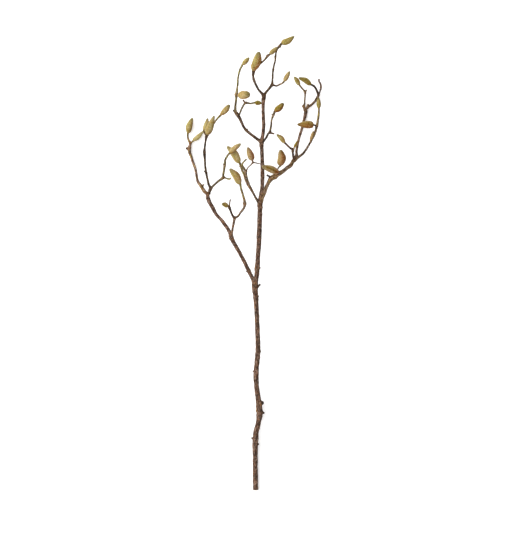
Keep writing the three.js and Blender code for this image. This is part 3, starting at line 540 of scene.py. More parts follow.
bark_marks = {name: [] for name in ("tone", "olive", "knuckle", "ring", "leaf_scar", "grain")}
for vertex in wood.data.vertices:
    point = vertex.co.copy()
    around = nearest_wood(point)
    distance, outward, along, angle, index = around[0]
    number, _, place, radius, onward, side, upright = curve_places[index]
    length = lengths[number]
    total = length["walked"][-1][0]
    fork = 0.0
    if len(around) > 1:
        second, second_outward, _, _, second_index = min(around[1:])
        blend = FORK_FILL * min(radius, curve_places[second_index][3])
        fork = round_hill(max(second, 0.0), FORK_SPREAD * blend)
        if second < FORK_LIMIT * blend and along < total - FORK_CLEAR_OF_END:
            weights = [math.exp(-distance / blend), math.exp(-second / blend)]
            fill = min(blend * math.log(sum(weights)), blend)
            direction = outward * weights[0] + second_outward * weights[1]
            if fill > 0 and direction.length > FORK_AGREEMENT * sum(weights):
                point += direction.normalized() * fill
    free = 1 - fork
    near_end = min(1.0, max(0.0, (total - along) / SMOOTH_UNDER_BUD)) if length.get("bud") else 1.0
    grain = Vector((radius * math.cos(angle), radius * math.sin(angle), along + NEXT_GRAIN * number))
    ring = max([round_hill(along - at, RING_HALF_WIDTH) for at in length["scars"]], default=0.0) * free
    ring *= 0.65 + 0.35 * noise.noise(grain / RING_BREAK)
    leaf_scar = 0.0
    for at, turned in length["leaf_scars"]:
        turn = (angle - turned + math.pi) % (2 * math.pi) - math.pi
        scar_here = round_hill(along - at, LEAF_SCAR_LENGTH) * round_hill(turn, LEAF_SCAR_WIDTH)
        leaf_scar = max(leaf_scar, scar_here)
    leaf_scar *= free
    knuckle = max([round_hill(along - at, KNUCKLE_REACH * radius) for at in length["nodes"]], default=0.0)
    knuckle = max(knuckle, FORK_KNUCKLE * fork)
    relief = RING_HEIGHT * ring * (0.5 + radius / RING_FULL_AT)
    relief += LEAF_SCAR_HEIGHT * leaf_scar
    relief += LUMP_HEIGHT * radius * noise.noise(point / LUMP_SIZE) * near_end
    relief += SMALL_LUMP_HEIGHT * radius * noise.noise(point / (SMALL_LUMP * LUMP_SIZE)) * near_end
    stretched = Vector((grain.x, grain.y, grain.z / WRINKLE_LENGTH)) / WRINKLE_SIZE
    relief += WRINKLE_HEIGHT * noise.noise(stretched) * near_end
    point += outward * relief
    point.z = max(point.z, TABLE_CLEARANCE)
    vertex.co = point
    share = min(1.0, max(0.0, along / total))
    start_tone, end_tone = length["tone"]
    bark_marks["tone"].append(start_tone * (1 - share) + end_tone * share)
    bark_marks["olive"].append(length.get("olive", 0.0))
    bark_marks["knuckle"].append(knuckle)
    bark_marks["ring"].append(ring)
    bark_marks["leaf_scar"].append(leaf_scar)
    bark_marks["grain"].extend(grain)
for name, marks in bark_marks.items():
    kind, value = ("FLOAT_VECTOR", "vector") if name == "grain" else ("FLOAT", "value")
    wood.data.attributes.new(name, kind, "POINT").data.foreach_set(value, marks)


def paint(hex_colour):
    """An sRGB hex colour as linear red, green, blue and alpha."""
    channels = [int(hex_colour[start:start + 2], 16) / 255 for start in (1, 3, 5)]
    linear = [c / 12.92 if c <= 0.04045 else ((c + 0.055) / 1.055) ** 2.4 for c in channels]
    return (*linear, 1.0)


def empty_material(name):
    """A material with no nodes yet."""
    material = bpy.data.materials.new(name)
    material.use_nodes = True
    material.node_tree.nodes.clear()
    return material


def add_node(material, kind, sockets=None, output=None, stops=None, **settings):
    """Adds a shader node and gives the output named, or else its first one in use.

    A socket takes a value or a link; stops are a ramp's (position, hex colour).
    """
    tree = material.node_tree
    node = tree.nodes.new("ShaderNode" + kind)
    for name, value in settings.items():
        setattr(node, name, value)
    for socket, value in (sockets or {}).items():
        if isinstance(value, bpy.types.NodeSocket):
            tree.links.new(value, node.inputs[socket])
        else:
            node.inputs[socket].default_value = value
    if stops:
        ramp = node.color_ramp
        while len(ramp.elements) < len(stops):
            ramp.elements.new(1.0)
        for element, (position, hex_colour) in zip(ramp.elements, stops):
            element.position = position
            element.color = paint(hex_colour)
    if output:
        return node.outputs[output]
    return next((each for each in node.outputs if each.enabled), None)


# Bark of young magnolia wood: thin, smooth and grown, not split. It gives the
# eye a dull brown with paler worn film, darker streaks along the grain, small
# pale breathing pores, and warmer, rougher skin at the nodes. Streaks and pores
# are drawn two or three times as coarse as real ones, so that they show.
PATCH = 8 * MM
FILM_PATCH = 6 * MM
STREAK_WIDTH = 2.4 * MM
STREAK_STRETCH = 0.22  # the pattern's scale along the wood, so a streak is 4 or 5 times as long as wide
PORE_SPACING = 3.6 * MM
bark = empty_material("magnolia_bark")
bark_mark = {name: add_node(bark, "Attribute", attribute_name=name, output="Fac")
             for name in bark_marks if name != "grain"}
grain_of = add_node(bark, "Attribute", attribute_name="grain", output="Vector")
patches = add_node(bark, "TexNoise", {
    "Vector": grain_of, "Scale": 1 / PATCH, "Detail": 3.0, "Roughness": 0.6})
along_grain = add_node(bark, "Mapping", {"Vector": grain_of, "Scale": (1, 1, STREAK_STRETCH)})
streaks = add_node(bark, "TexNoise", {
    "Vector": along_grain, "Scale": 1 / STREAK_WIDTH, "Detail": 4.0, "Roughness": 0.65})
film = add_node(bark, "TexNoise", {
    "Vector": grain_of, "Scale": 1 / FILM_PATCH, "Detail": 5.0, "Roughness": 0.7, "Distortion": 0.6})
pores = add_node(bark, "TexVoronoi", {"Vector": grain_of, "Scale": 1 / PORE_SPACING})

# The skin's own colour, from black-brown to olive, in a brown and a greener series.
swing = add_node(bark, "Math", {0: patches, 1: 1.3, 2: -0.69}, operation="MULTIPLY_ADD")
shifted = add_node(bark, "Math", {0: bark_mark["tone"], 1: swing}, operation="ADD")
brown_skin = add_node(bark, "ValToRGB", {"Fac": shifted}, stops=[
    (0.0, "#22170f"), (0.25, "#4c3121"), (0.5, "#775340"), (0.64, "#936d3c"), (0.8, "#8a763c"),
    (1.0, "#a59d52")])
olive_skin = add_node(bark, "ValToRGB", {"Fac": shifted}, stops=[
    (0.0, "#1c180e"), (0.3, "#453c22"), (0.6, "#746a38"), (1.0, "#a8a054")])
bark_colour = add_node(bark, "Mix", {
    "Factor": bark_mark["olive"], "A": brown_skin, "B": olive_skin}, data_type="RGBA")

# Dark wood has less film and cooler nodes than brown wood.
most_warm = add_node(bark, "MapRange", {
    "Value": bark_mark["tone"], "From Min": 0.35, "From Max": 0.55, "To Min": 0.2, "To Max": 0.65})
most_film = add_node(bark, "MapRange", {
    "Value": bark_mark["tone"], "From Min": 0.15, "From Max": 0.55, "To Min": 0.12, "To Max": 0.72})
warm_places = add_node(bark, "Math", {0: bark_mark["knuckle"], 1: patches}, operation="MULTIPLY")
pore_size = add_node(bark, "Math", {0: film, 1: 0.7, 2: -0.32}, operation="MULTIPLY_ADD")
pore_edge = add_node(bark, "Math", {0: pores, 1: pore_size}, operation="ADD")

# What lies over the skin, one over the other: what it follows, from where and
# to where in that it grows to its most, how much it covers there, and its colour.
bark_layers = {
    "warm_node": (warm_places, 0.22, 0.5, most_warm, "#976a32"),
    "film": (film, 0.46, 0.66, most_film, "#bea795"),
    "streak": (streaks, 0.41, 0.58, 0.9, "#28190f"),
    "ring": (bark_mark["ring"], 0.0, 1.0, 0.5, "#4a3322"),
    "leaf_scar": (bark_mark["leaf_scar"], 0.35, 0.6, 0.6, "#b39a70"),
    "pore": (pore_edge, 0.21, 0.1, 0.6, "#b7a183"),
}
layer_share = {}
for name, (follows, starts, full, most, hex_colour) in bark_layers.items():
    layer_share[name] = add_node(bark, "MapRange", {
        "Value": follows, "From Min": starts, "From Max": full, "To Max": most})
    bark_colour = add_node(bark, "Mix", {
        "Factor": layer_share[name], "A": bark_colour, "B": paint(hex_colour)}, data_type="RGBA")
bark_roughness = add_node(bark, "MapRange", {
    "Value": film, "From Min": 0.3, "From Max": 0.7, "To Min": 0.88, "To Max": 0.62})
bark_height = add_node(bark, "Math", {
    0: streaks, 1: -0.7, 2: layer_share["pore"]}, operation="MULTIPLY_ADD")
bark_bump = add_node(bark, "Bump", {"Strength": 0.6, "Distance": 0.35 * MM, "Height": bark_height})
bark_shader = add_node(bark, "BsdfPrincipled", {
    "Base Color": bark_colour, "Roughness": bark_roughness, "IOR": 1.45, "Specular IOR Level": 0.2,
    "Normal": bark_bump})
add_node(bark, "OutputMaterial", {"Surface": bark_shader})

# The cut end: fresh-cut magnolia wood, pale and close-grained, with a brown
# pith in the middle and faint year rings. It gives the eye a dry cream disc.
YEAR_RING = 1.6 * MM
RING_WAVE = 0.31  # what the wave pattern's scale takes for one ring in one unit
PITH = (1.0 * MM, 0.6 * MM)  # from where it starts to where it is full, from the middle
RIM = (5.7 * MM, 6.1 * MM)
CUT_REACH = 6.5 * MM  # the cut's faces lie this near to its middle
FACES_THE_CUT = -0.95  # and point down the branch by at least this much
BARK_CREASE = math.radians(55)  # sharper edges than this stay sharp
cut_middle = main_stem["walked"][0][1]
cut_wood = empty_material("cut_magnolia_wood")
cut_places = add_node(cut_wood, "TexCoord", output="Object")
cut_centred = add_node(cut_wood, "Mapping", {
    "Vector": cut_places, "Location": (-cut_middle.x, 0, -cut_middle.z), "Scale": (1, 0, 1)})
from_pith = add_node(cut_wood, "VectorMath", {0: cut_centred}, operation="LENGTH", output="Value")
year_rings = add_node(cut_wood, "TexWave", {
    "Vector": cut_centred, "Scale": RING_WAVE / YEAR_RING, "Distortion": 1.2, "Detail": 2.0},
    wave_type="RINGS", rings_direction="Y", output="Fac")
cut_colour = add_node(cut_wood, "ValToRGB", {"Fac": year_rings}, stops=[
    (0.0, "#c5af86"), (0.35, "#d6c39c"), (1.0, "#dccba8")])
for (starts, full), most, hex_colour in ((PITH, 0.85, "#8a6a48"), (RIM, 0.9, "#5c4332")):
    cut_share = add_node(cut_wood, "MapRange", {
        "Value": from_pith, "From Min": starts, "From Max": full, "To Max": most})
    cut_colour = add_node(cut_wood, "Mix", {
        "Factor": cut_share, "A": cut_colour, "B": paint(hex_colour)}, data_type="RGBA")
cut_bump = add_node(cut_wood, "Bump", {"Strength": 0.5, "Distance": 0.2 * MM, "Height": year_rings})
cut_shader = add_node(cut_wood, "BsdfPrincipled", {
    "Base Color": cut_colour, "Roughness": 0.8, "IOR": 1.5, "Normal": cut_bump})
add_node(cut_wood, "OutputMaterial", {"Surface": cut_shader})

wood.data.materials.clear()
wood.data.materials.append(bark)
wood.data.materials.append(cut_wood)
for face in wood.data.polygons:
    face.use_smooth = True
    if (face.center - cut_middle).length < CUT_REACH and face.normal.y < FACES_THE_CUT:
        face.material_index = 1
pick(wood)
bpy.ops.object.shade_smooth_by_angle(angle=BARK_CREASE)
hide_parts("branch_wood")
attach(wood, "root")

# ---------------------------------------------------------------------------
# The flower buds. Each is a long pointed egg in two velvety scales; the outer
# one wraps the inner and its free edge runs as a low ledge from foot to tip.
# It sits on the flat end of its twig and is covered in short silky hair.
#
# The columns: radius is the widest, and bulge pushes the middle sideways, both
# in millimetres; seam is where the ledge starts round the foot, in degrees;
# blunt is 0 for a pointed tip and 1 for a round one; belly is over 1 when the
# widest place is nearer the foot, and under 1 when it is nearer the tip. The
# rest is colour: warm is how brown the painted shade makes its shaded side,
# deep how dark it is all over, green how olive, foot how brown its foot is, and
# stripe how dark the painted shadow is in the crease beside its ledge; slot is
# the record's name for its finish.

BUD_COLUMNS = ("radius", "bulge", "seam", "blunt", "belly",
               "warm", "deep", "green", "foot", "stripe", "slot")
BUD_ROWS = {
    "bud_01": (8.1, (1, -2, 0), 110, 0.2, 1.15, 0.15, 0.25, 0, 0.1, 0.15, "bud_olive"),
    "bud_02": (5.6, (0, 0, 0), 70, 0.5, 1, 0.2, 0.22, 0.8, 0.1, 0.15, "bud_tan"),
    "bud_03": (10.6, (2, 0, 0), 65, 0.62, 0.85, 0.75, 0.15, 0, 0.5, 0.5, "bud_olive"),
    "bud_04": (5.6, (0, 0, 1), 80, 0.9, 0.9, 0.3, 0.15, 0, 0.1, 0.15, "bud_olive"),
    "bud_05": (5.6, (0, 0, 0), 50, 0.6, 1, 0.2, 0.15, 0.2, 0.1, 0.15, "bud_tan"),
    "bud_06": (10.3, (0, 0, 1), 200, 1, 0.85, 0.75, 0.22, 0.15, 0.1, 0.15, "bud_tan"),
    "bud_07": (5.7, (0, 0, 0), 10, 0.3, 1, 0.3, 0.55, 0, 0.1, 0.15, "bud_olive"),
    "bud_08": (7.6, (1, -1, 0), 100, 0.9, 1, 1.1, 0.5, 0.8, 0.4, 0.15, "bud_brown"),
    "bud_09": (7.7, (-2, 0, 0), 60, 0.6, 1, 0.3, 0.1, 0, 0.1, 0.15, "bud_olive"),
    "bud_10": (5.7, (1, -1, 0), 150, 0.3, 1, 0.05, 0, 0, 0.1, 0.15, "bud_olive"),
    "bud_11": (8, (-0.5, 0, 0), 20, 0.1, 1.15, 0.2, 0.03, 0, 0.1, 0.15, "bud_olive"),
    "bud_12": (8.7, (0, 0, 0), 90, 0.2, 1.12, 0.2, 0.12, 0.75, 0.1, 0.15, "bud_tan"),
    "bud_13": (7.2, (1, -1, 0), 120, 0.8, 0.75, 0.35, 0.2, 0.4, 0.1, 0.15, "bud_tan"),
    "bud_14": (6.4, (-1, 1, 0), 40, 0.7, 0.9, 0.3, 0.1, 0.3, 0.1, 0.15, "bud_tan"),
    "bud_15": (9.5, (2, 2, 0), 320, 0.4, 1, 0.4, 0, 0, 0.1, 0.15, "bud_olive"),
    "bud_16": (8.1, (0, 0, 1), 45, 0.4, 1.1, 0.7, -0.02, 0.35, 0.1, 0.15, "bud_brown"),
    "bud_17": (9.5, (2, 2, 0), 300, 0.5, 1, 0.55, 0.08, 0, 0.1, 0.15, "bud_olive"),
    "bud_18": (5.7, (0, 1, 0), 30, 0.6, 1, 0.1, 0.3, 0.9, 0.1, 0.15, "bud_tan"),
    "bud_19": (8.8, (0, 1, 1), 335, 0.6, 1, 0.2, -0.08, 0.8, 0.9, 0.75, "bud_brown"),
    "bud_20": (10.4, (3, 0, 0), 345, 0.7, 1, 0.8, 0.12, 0.15, 0.3, 0.15, "bud_brown"),
    "bud_21": (5.8, (1, 1, 0), 30, 0.5, 1, 0.4, 0.15, 0, 0.1, 0.15, "bud_olive"),
    "bud_22": (2.9, (0, 0, 0), 0, 0.4, 1, 0, 0.5, 0.5, 0.1, 0.15, "bud_olive"),
    "bud_23": (9.5, (0, 0, 1), 345, 0.2, 1.25, 1.1, 0.36, 0.4, 0.1, 0.3, "bud_brown"),
    "bud_24": (3.6, (0, 0, 0), 0, 0.7, 1, 0, 0.05, 0, 0, 0.15, "bud_brown"),
    "bud_25": (5.4, (0, 0, 0), 60, 0.5, 1, 0.1, 0.3, 0, 0.1, 0.15, "bud_olive"),
    "bud_26": (5.6, (0, 1, 0), 0, 0.5, 1, 0.1, 0.2, 0, 0.1, 0.15, "bud_olive"),
    "bud_27": (6.8, (1, 2, 0), 330, 0.4, 1, 0.1, 0.4, 0, 0.1, 0.15, "bud_olive"),
}
bud_forms = {name: dict(zip(BUD_COLUMNS, row)) for name, row in BUD_ROWS.items()}

BUD_OUTLINE = [  # along the bud, radius when pointed, radius when blunt, all as parts of the whole
    (0, 0.3, 0.3), (0.04, 0.52, 0.52), (0.12, 0.77, 0.77), (0.24, 0.95, 0.94), (0.38, 1, 1),
    (0.52, 0.94, 0.98), (0.66, 0.78, 0.9), (0.79, 0.57, 0.75), (0.9, 0.38, 0.56), (0.97, 0.22, 0.34),
    (1, 0, 0)]
BUD_GAP = 0.3 * MM  # between a twig's end and its bud's foot
ROWS_PER_STRETCH = 4
COLUMNS = 48
SCALE_OVERLAP = 0.07  # of the radius
SEAM_WIDTH = 0.06  # radians
SEAM_LEAN = 0.6  # radians from foot to tip
EDGE_ROLL = 0.025  # of the radius, as the heights below
EDGE_WIDTH = 0.03  # of the way round
RIDGES = 5
RIDGE_HEIGHT = 0.018
DENT_DEPTH = 0.05
DENTS_ROUND = 2.2
DENTS_ALONG = 3
NEXT_BUD = 1.7  # shifts the ridges and dents from bud to bud


class BudShape:
    """Where the skin of one bud lies."""

    def __init__(self, twig, form, number):
        end = in_frame(*twig["points"][-1][:3])
        self.tip = in_frame(*twig["tip"])
        self.direction = (self.tip - end).normalized()
        self.foot = end + self.direction * BUD_GAP
        self.upright = (Vector((0, 0, 1)) - self.direction * self.direction.z).normalized()
        self.across = self.direction.cross(self.upright)
        self.radius = form["radius"] * MM
        self.bulge = Vector(form["bulge"]) * MM
        self.seam = math.radians(form["seam"])
        self.phase = number * NEXT_BUD
        corners = [(along ** form["belly"], pointed * (1 - form["blunt"]) + blunt * form["blunt"])
                   for along, pointed, blunt in BUD_OUTLINE]
        corners = [corners[0], *corners, corners[-1]]
        self.rows = []
        for four in zip(corners, corners[1:], corners[2:], corners[3:]):
            for step in range(ROWS_PER_STRETCH):
                t = step / ROWS_PER_STRETCH
                self.rows.append(tuple(
                    0.5 * (2 * b + (c - a) * t + (2 * a - 5 * b + 4 * c - d) * t ** 2
                           + (3 * b - a - 3 * c + d) * t ** 3)
                    for a, b, c, d in zip(*four)))

    def row_at(self, share):
        """Along and width at a share of the rows, from foot to tip."""
        position = share * (len(self.rows) - 1)
        low = min(int(position), len(self.rows) - 2)
        part = position - low
        return [a * (1 - part) + b * part for a, b in zip(self.rows[low], self.rows[low + 1])]

    def outward(self, along, turn):
        """The way out of the bud at a share of the way round, counted from the seam."""
        angle = self.seam + SEAM_LEAN * along + turn * (2 * math.pi - SEAM_WIDTH)
        return self.upright * math.cos(angle) + self.across * math.sin(angle)

    def place(self, along, width, turn):
        """A place on the skin."""
        middle = self.foot.lerp(self.tip, along) + self.bulge * math.sin(math.pi * along) ** 2
        edge = EDGE_ROLL * math.exp(-turn / EDGE_WIDTH) - EDGE_ROLL * math.exp(-(1 - turn) / EDGE_WIDTH)
        ridge = RIDGE_HEIGHT * math.sin(RIDGES * 2 * math.pi * turn + self.phase) * math.sin(math.pi * along)
        dent = DENT_DEPTH * noise.noise(Vector((
            DENTS_ROUND * math.cos(2 * math.pi * turn), DENTS_ALONG * along,
            DENTS_ROUND * math.sin(2 * math.pi * turn) + self.phase)))
        reach = self.radius * width * (1 + SCALE_OVERLAP * (0.5 - turn) + edge + ridge + dent)
        return middle + self.outward(along, turn) * reach


# What the velvet's colour follows. Painted shade: the side of each bud that
# faces away from the light, a fixed direction, is drawn browner and darker, and
# the side that faces the light a little darker too; a painted shadow darkens
# the crease beside the ledge.
BUD_MARKS = ("along", "warm", "hair", "deep", "green", "seam")
# Painted shade: skin that faces this way, away from the key light, is drawn browner and darker.
PAINTED_SHADE_SIDE = Vector((0.8, -0.35, -0.1)).normalized()
BROWN_MOST = 1.3
BROWN_EDGE_ON = 0.35  # of the most, where the skin lies edge on to that side
BROWN_RISE = 1.1
# Painted shade: how much darker the side away from the light is drawn, and the side facing it.
SHADE_DARK = 0.45
LIT_DARK = -0.12  # the lit side is a little darker too, the more it faces the light
END_DARK = 0.25
FOOT_REACH = 0.3  # these five are parts of the bud's length
DARK_FOOT_REACH = 0.07
DARK_TIP_REACH = 0.1
# Where the painted shadow in the crease beside the ledge lies, along and round.
STRIPE_MIDDLE = 0.55
STRIPE_LENGTH = 0.4
STRIPE_WIDTH = 0.09  # of the way round


def bud_marks(form, outward, along, turn):
    """How brown, how dark and how olive a place on a bud is, painted shade included."""
    shaded = outward.dot(PAINTED_SHADE_SIDE)
    # Painted shade: browner on the side away from the light.
    shade_brown = BROWN_MOST * form["warm"] * min(1.0, max(0.0, BROWN_EDGE_ON + BROWN_RISE * shaded))
    at_foot = form["foot"] * round_hill(along, FOOT_REACH)
    at_ends = round_hill(along, DARK_FOOT_REACH) + 0.5 * round_hill(1 - along, DARK_TIP_REACH)
    # Painted shadow in the crease beside the ledge.
    crease_shadow = round_hill(turn, STRIPE_WIDTH) * round_hill(along - STRIPE_MIDDLE, STRIPE_LENGTH)
    # Painted shade: darker on the side away from the light, a little darker facing it.
    darkened = form["deep"] + max(SHADE_DARK * shaded, LIT_DARK * shaded)
    darkened += END_DARK * at_ends + form["stripe"] * crease_shadow
    return {"along": along, "warm": shade_brown + at_foot, "deep": darkened, "green": form["green"]}


# Silk hair: short, lying towards the tip, root sunk in the skin. It is drawn a
# few times as thick as real silk, so that it shows.
HAIRS_PER_SQUARE_MM = 3.2
HAIR_LENGTH = 2.2 * MM
HAIR_LENGTHS = (0.55, 1.15)  # of that
HAIR_HALF_WIDTH = 0.09 * MM
HAIR_SUNK = 0.15 * MM
HAIR_LIFT = (0.1, 0.45)  # how far it stands off, as a slope
HAIR_STRAYS = (-0.2, 0.2)  # how far it leans aside, as a slope
FULL_HAIR_RADIUS = 7 * MM  # thinner buds have shorter hair
SKIN_SHARE = 0.7  # of a straight tube's skin
LEAST_CHANCE = 0.15
CHANCE_BY_STRETCH = 18  # more hairs where the rows lie further apart
LOOK_AHEAD = 0.04  # of the rows
SIDES_OF_HAIR = 3
HAIR_SEED = 700


def grow_hairs(mesh, shape, form, layers, draw):
    """Adds short closed three-sided hairs that lie along the bud towards its tip."""
    area = 2 * math.pi * shape.radius * (shape.tip - shape.foot).length * SKIN_SHARE
    wanted = int(area / (MM * MM) * HAIRS_PER_SQUARE_MM)
    shortened = min(1.0, shape.radius / FULL_HAIR_RADIUS + 0.2)
    grown = 0
    while grown < wanted:
        share = draw.random()
        along, width = shape.row_at(share)
        stretch = shape.row_at(min(share + LOOK_AHEAD / 2, 1))[0] - along
        if draw.random() > width * (LEAST_CHANCE + stretch * CHANCE_BY_STRETCH):
            continue
        grown += 1
        turn = draw.random()
        root = shape.place(along, width, turn)
        ahead = shape.place(*shape.row_at(min(share + LOOK_AHEAD, 1)), turn) - root
        outward = shape.outward(along, turn)
        forward = ahead.normalized() if ahead.length > JUST_PAST else shape.direction
        sideways = outward.cross(forward).normalized()
        lean = forward + outward * draw.uniform(*HAIR_LIFT) + sideways * draw.uniform(*HAIR_STRAYS)
        lean.normalize()
        long = HAIR_LENGTH * draw.uniform(*HAIR_LENGTHS) * shortened
        root -= outward * HAIR_SUNK
        first = lean.cross(sideways).normalized()
        second = lean.cross(first)
        corners = []
        for corner in range(SIDES_OF_HAIR):
            angle = corner * 2 * math.pi / SIDES_OF_HAIR
            at = root + (first * math.cos(angle) + second * math.sin(angle)) * HAIR_HALF_WIDTH
            corners.append(mesh.verts.new(at))
        end = mesh.verts.new(root + lean * long)
        for corner in range(SIDES_OF_HAIR):
            mesh.faces.new((corners[corner], corners[(corner + 1) % SIDES_OF_HAIR], end))
        mesh.faces.new(reversed(corners))
        marks = bud_marks(form, outward, along, turn)
        for vertex in (*corners, end):
            for name, mark in marks.items():
                vertex[layers[name]] = mark
            vertex[layers["hair"]] = 1.0 if vertex is end else 0.5


# A dry foot scale, left from last year, hugs the foot of the largest top bud.
FOOT_SCALES = {"bud_03": {"turn": 0.66, "half_turn": 0.2, "reach": 0.38}}  # parts of the way round and along
FOOT_SCALE_MARKS = {"warm": 0.35, "deep": 0.55, "hair": 0.3}
FOOT_SCALE_ROWS = 14
FOOT_SCALE_COLUMNS = 12
FOOT_SCALE_STANDS_OUT = 1.9 * MM
FOOT_SCALE_TUCKED = 0.25 * MM
FOOT_SCALE_SUNK = 0.6 * MM
FOOT_SCALE_POINT = 1.6  # higher is blunter


def add_foot_scale(mesh, shape, scale, layers):
    """A small dry outer scale that hugs the foot of a bud: a thin pointed leaf with its edges tucked in."""
    shell = []
    for row in range(FOOT_SCALE_ROWS + 1):
        share = row / FOOT_SCALE_ROWS
        along = scale["reach"] * share
        width = min(shape.rows, key=lambda each: abs(each[0] - along))[1]
        half = scale["half_turn"] * math.cos(0.5 * math.pi * share ** FOOT_SCALE_POINT)
        outer = []
        inner = []
        for column in range(FOOT_SCALE_COLUMNS + 1):
            across = 2 * column / FOOT_SCALE_COLUMNS - 1
            turn = (scale["turn"] + half * across) % 1
            skin_place = shape.place(along, width, turn)
            outward = shape.outward(along, turn)
            stands_out = FOOT_SCALE_STANDS_OUT * (1 - across ** 4) * (0.5 + 0.5 * share)
            outer.append(mesh.verts.new(skin_place + outward * (stands_out - FOOT_SCALE_TUCKED)))
            inner.append(mesh.verts.new(skin_place - outward * FOOT_SCALE_SUNK))
        shell.append(outer + inner[::-1])
    round_row = len(shell[0])
    for low, high in zip(shell, shell[1:]):
        for column in range(round_row):
            following = (column + 1) % round_row
            mesh.faces.new((low[column], low[following], high[following], high[column]))
    mesh.faces.new(reversed(shell[0]))
    mesh.faces.new(shell[-1])
    for row in shell:
        for vertex in row:
            for name, mark in FOOT_SCALE_MARKS.items():
                vertex[layers[name]] = mark


def draw_bud(twig, number):
    """One bud: a ball pulled into shape row by row, then covered in hair."""
    form = bud_forms[twig["bud"]]
    shape = BudShape(twig, form, number)
    rows = len(shape.rows)
    bpy.ops.object.select_all(action="DESELECT")
    bpy.ops.mesh.primitive_uv_sphere_add(segments=COLUMNS, ring_count=rows + 1, radius=1)
    piece = bpy.context.object
    piece.name = twig["bud"] + "_velvet"
    piece.data.name = piece.name
    mesh = bmesh.new()
    mesh.from_mesh(piece.data)
    layers = {name: mesh.verts.layers.float.new(name) for name in BUD_MARKS}
    for vertex in mesh.verts:
        row = round((1 - math.acos(max(-1.0, min(1.0, vertex.co.z))) / math.pi) * (rows + 1))
        column = round(math.atan2(vertex.co.y, vertex.co.x) / (2 * math.pi) * COLUMNS) % COLUMNS
        turn = column / (COLUMNS - 1)
        if row == 0:
            along = 0.0
            vertex.co = shape.foot
        elif row == rows + 1:
            along = 1.0
            vertex.co = shape.tip
        else:
            along, width = shape.rows[row - 1]
            vertex.co = shape.place(along, width, turn)
        for name, mark in bud_marks(form, shape.outward(along, turn), along, turn).items():
            vertex[layers[name]] = mark
        vertex[layers["seam"]] = 1.0 if column in (0, COLUMNS - 1) else 0.0
    if twig["bud"] in FOOT_SCALES:
        add_foot_scale(mesh, shape, FOOT_SCALES[twig["bud"]], layers)
    grow_hairs(mesh, shape, form, layers, random.Random(HAIR_SEED + number))
    mesh.to_mesh(piece.data)
    mesh.free()
    return piece


# Velvet of the bud scales: short silky hair over a thin leathery scale. It
# gives the eye a soft olive to tan skin, darker at the tip. Its paler lit side
# and its browner, darker, more strongly coloured shaded side are painted shade,
# carried in by the marks.
HAIR_STREAK = 1.1 * MM
BLOTCH = 8 * MM
CLOUD = 5 * MM
OLIVE_GREEN = "#a59350"
SILK_SHEEN = "#f2e8c8"


def velvet(name, skin, warm_skin, hair, tip):
    """One velvet, from its four colours."""
    material = empty_material(name)
    mark = {each: add_node(material, "Attribute", attribute_name=each, output="Fac") for each in BUD_MARKS}
    places = add_node(material, "TexCoord", output="Object")
    blotches = add_node(material, "TexNoise", {
        "Vector": places, "Scale": 1 / BLOTCH, "Detail": 3.0, "Roughness": 0.55})
    clouds = add_node(material, "TexNoise", {
        "Vector": places, "Scale": 1 / CLOUD, "Detail": 4.0, "Roughness": 0.6})
    fine = add_node(material, "TexNoise", {
        "Vector": places, "Scale": 1 / HAIR_STREAK, "Detail": 2.0, "Roughness": 0.6})
    # The warm mark is painted shade on the shaded side and real brown at the foot, broken up by blotches.
    warm_swing = add_node(material, "Math", {0: blotches, 1: 1.3, 2: -0.64}, operation="MULTIPLY_ADD")
    warm_share = add_node(material, "Math", {
        0: mark["warm"], 1: warm_swing}, operation="ADD", use_clamp=True)
    tip_share = add_node(material, "MapRange", {
        "Value": mark["along"], "From Min": 0.7, "From Max": 0.95, "To Max": 0.8})
    seam_share = add_node(material, "Math", {0: mark["seam"], 1: 0.5}, operation="MULTIPLY")
    hair_share = add_node(material, "Math", {0: mark["hair"], 1: 0.75}, operation="MULTIPLY")
    colour = paint(skin)
    for share, hex_colour in ((mark["green"], OLIVE_GREEN), (warm_share, warm_skin), (tip_share, tip),
                              (seam_share, warm_skin), (hair_share, hair)):
        colour = add_node(material, "Mix", {
            "Factor": share, "A": colour, "B": paint(hex_colour)}, data_type="RGBA")
    cloudy = add_node(material, "Math", {0: clouds, 1: 1.6, 2: -0.84}, operation="MULTIPLY_ADD")
    darkened = add_node(material, "Math", {0: mark["deep"], 1: cloudy}, operation="ADD")
    depth = add_node(material, "Math", {0: fine, 1: -0.35, 2: darkened}, operation="MULTIPLY_ADD")
    # Darkness from the marks, painted shade included, lowers the lightness and makes the colour stronger.
    lightness = add_node(material, "MapRange", {
        "Value": depth, "From Min": -0.6, "From Max": 0.6, "To Min": 1.25, "To Max": 0.42})
    strength = add_node(material, "MapRange", {
        "Value": depth, "From Min": -0.4, "From Max": 0.5, "To Min": 0.77, "To Max": 1.18})
    shaded_colour = add_node(material, "HueSaturation", {
        "Value": lightness, "Saturation": strength, "Color": colour})
    bump = add_node(material, "Bump", {"Strength": 0.5, "Distance": 0.25 * MM, "Height": fine})
    shader = add_node(material, "BsdfPrincipled", {
        "Base Color": shaded_colour, "Roughness": 0.9, "IOR": 1.45, "Specular IOR Level": 0.1,
        "Sheen Weight": 0.4, "Sheen Roughness": 0.35, "Sheen Tint": paint(SILK_SHEEN), "Normal": bump})
    add_node(material, "OutputMaterial", {"Surface": shader})
    return material


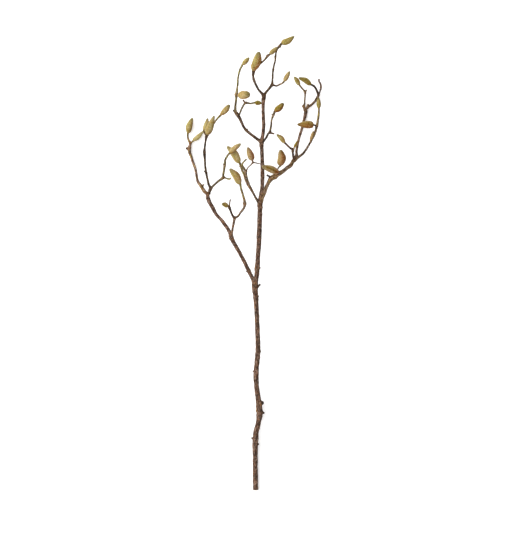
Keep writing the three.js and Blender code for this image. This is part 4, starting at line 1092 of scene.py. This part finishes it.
velvets = {
    "bud_olive": velvet("olive_bud_velvet", "#a9984f", "#a9682b", "#ded3a8", "#7a7140"),
    "bud_tan": velvet("tan_bud_velvet", "#b89e60", "#b07032", "#e2d4ae", "#857945"),
    "bud_brown": velvet("brown_bud_velvet", "#aa8b52", "#98561e", "#dac69a", "#74663a"),
}
VELVET_CREASE = math.radians(50)
budded = sorted((twig for twig in twigs if twig.get("bud")), key=lambda twig: twig["bud"])
for number, twig in enumerate(budded):
    bud = draw_bud(twig, number)
    slot = bud_forms[twig["bud"]]["slot"]
    bud.data.materials.append(velvets[slot])
    pick(bud)
    bpy.ops.object.shade_smooth_by_angle(angle=VELVET_CREASE)
    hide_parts(twig["bud"])
    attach(bud, "root")

# ---------------------------------------------------------------------------
# The setting. A wide white table, lit a little from below as a light table is,
# broad soft light from the upper left, and a camera that looks straight down
# on the branch.

TABLE_SIZE = 120
TABLE_GLOW = 0.32
bpy.ops.object.select_all(action="DESELECT")
bpy.ops.mesh.primitive_plane_add(size=TABLE_SIZE, location=(0, 0, 0))
table = bpy.context.object
table.name = "white_table"
table_paint = empty_material("matt_white_laminate")
table_shader = add_node(table_paint, "BsdfPrincipled", {
    "Base Color": paint("#fbfbfb"), "Roughness": 0.9, "Specular IOR Level": 0.0,
    "Emission Color": paint("#ffffff"), "Emission Strength": TABLE_GLOW})
add_node(table_paint, "OutputMaterial", {"Surface": table_shader})
table.data.materials.append(table_paint)

LIGHTS = {
    "key_light": {"from": (-0.72, 0.2, 0.67), "strength": 4.5, "spread": 95},
    "fill_light": {"from": (0.3, -0.4, 0.86), "strength": 0.3, "spread": 120},
}
for name, light in LIGHTS.items():
    sun = bpy.data.lights.new(name, "SUN")
    sun.energy = light["strength"]
    sun.angle = math.radians(light["spread"])
    lamp = bpy.data.objects.new(name, sun)
    lamp.rotation_euler = Vector(light["from"]).to_track_quat("Z", "Y").to_euler()
    bpy.context.scene.collection.objects.link(lamp)

ROOM_LIGHT = 0.27
world = bpy.data.worlds.new("white_room")
world.use_nodes = True
world.node_tree.nodes["Background"].inputs["Color"].default_value = paint("#ffffff")
world.node_tree.nodes["Background"].inputs["Strength"].default_value = ROOM_LIGHT
bpy.context.scene.world = world

CAMERA_HEIGHT = 12.0
PICTURED_LENGTH = 1.3375  # metres of table along the picture's height
PICTURED_AT = 0.06  # height above the table at which that length is pictured
PICTURE_MIDDLE = (0, 558.75)  # mm from the cut end, what the camera is over
SENSOR = 36
camera_data = bpy.data.cameras.new("overhead_camera")
camera_data.sensor_width = SENSOR
camera_data.lens = SENSOR / PICTURED_LENGTH * (CAMERA_HEIGHT - PICTURED_AT)
camera_data.clip_start = 0.1
camera_data.clip_end = 100
camera = bpy.data.objects.new("overhead_camera", camera_data)
camera.location = (*in_frame(*PICTURE_MIDDLE, 0).xy, CAMERA_HEIGHT)
bpy.context.scene.collection.objects.link(camera)
bpy.context.scene.camera = camera
bpy.context.scene.view_settings.view_transform = "Standard"
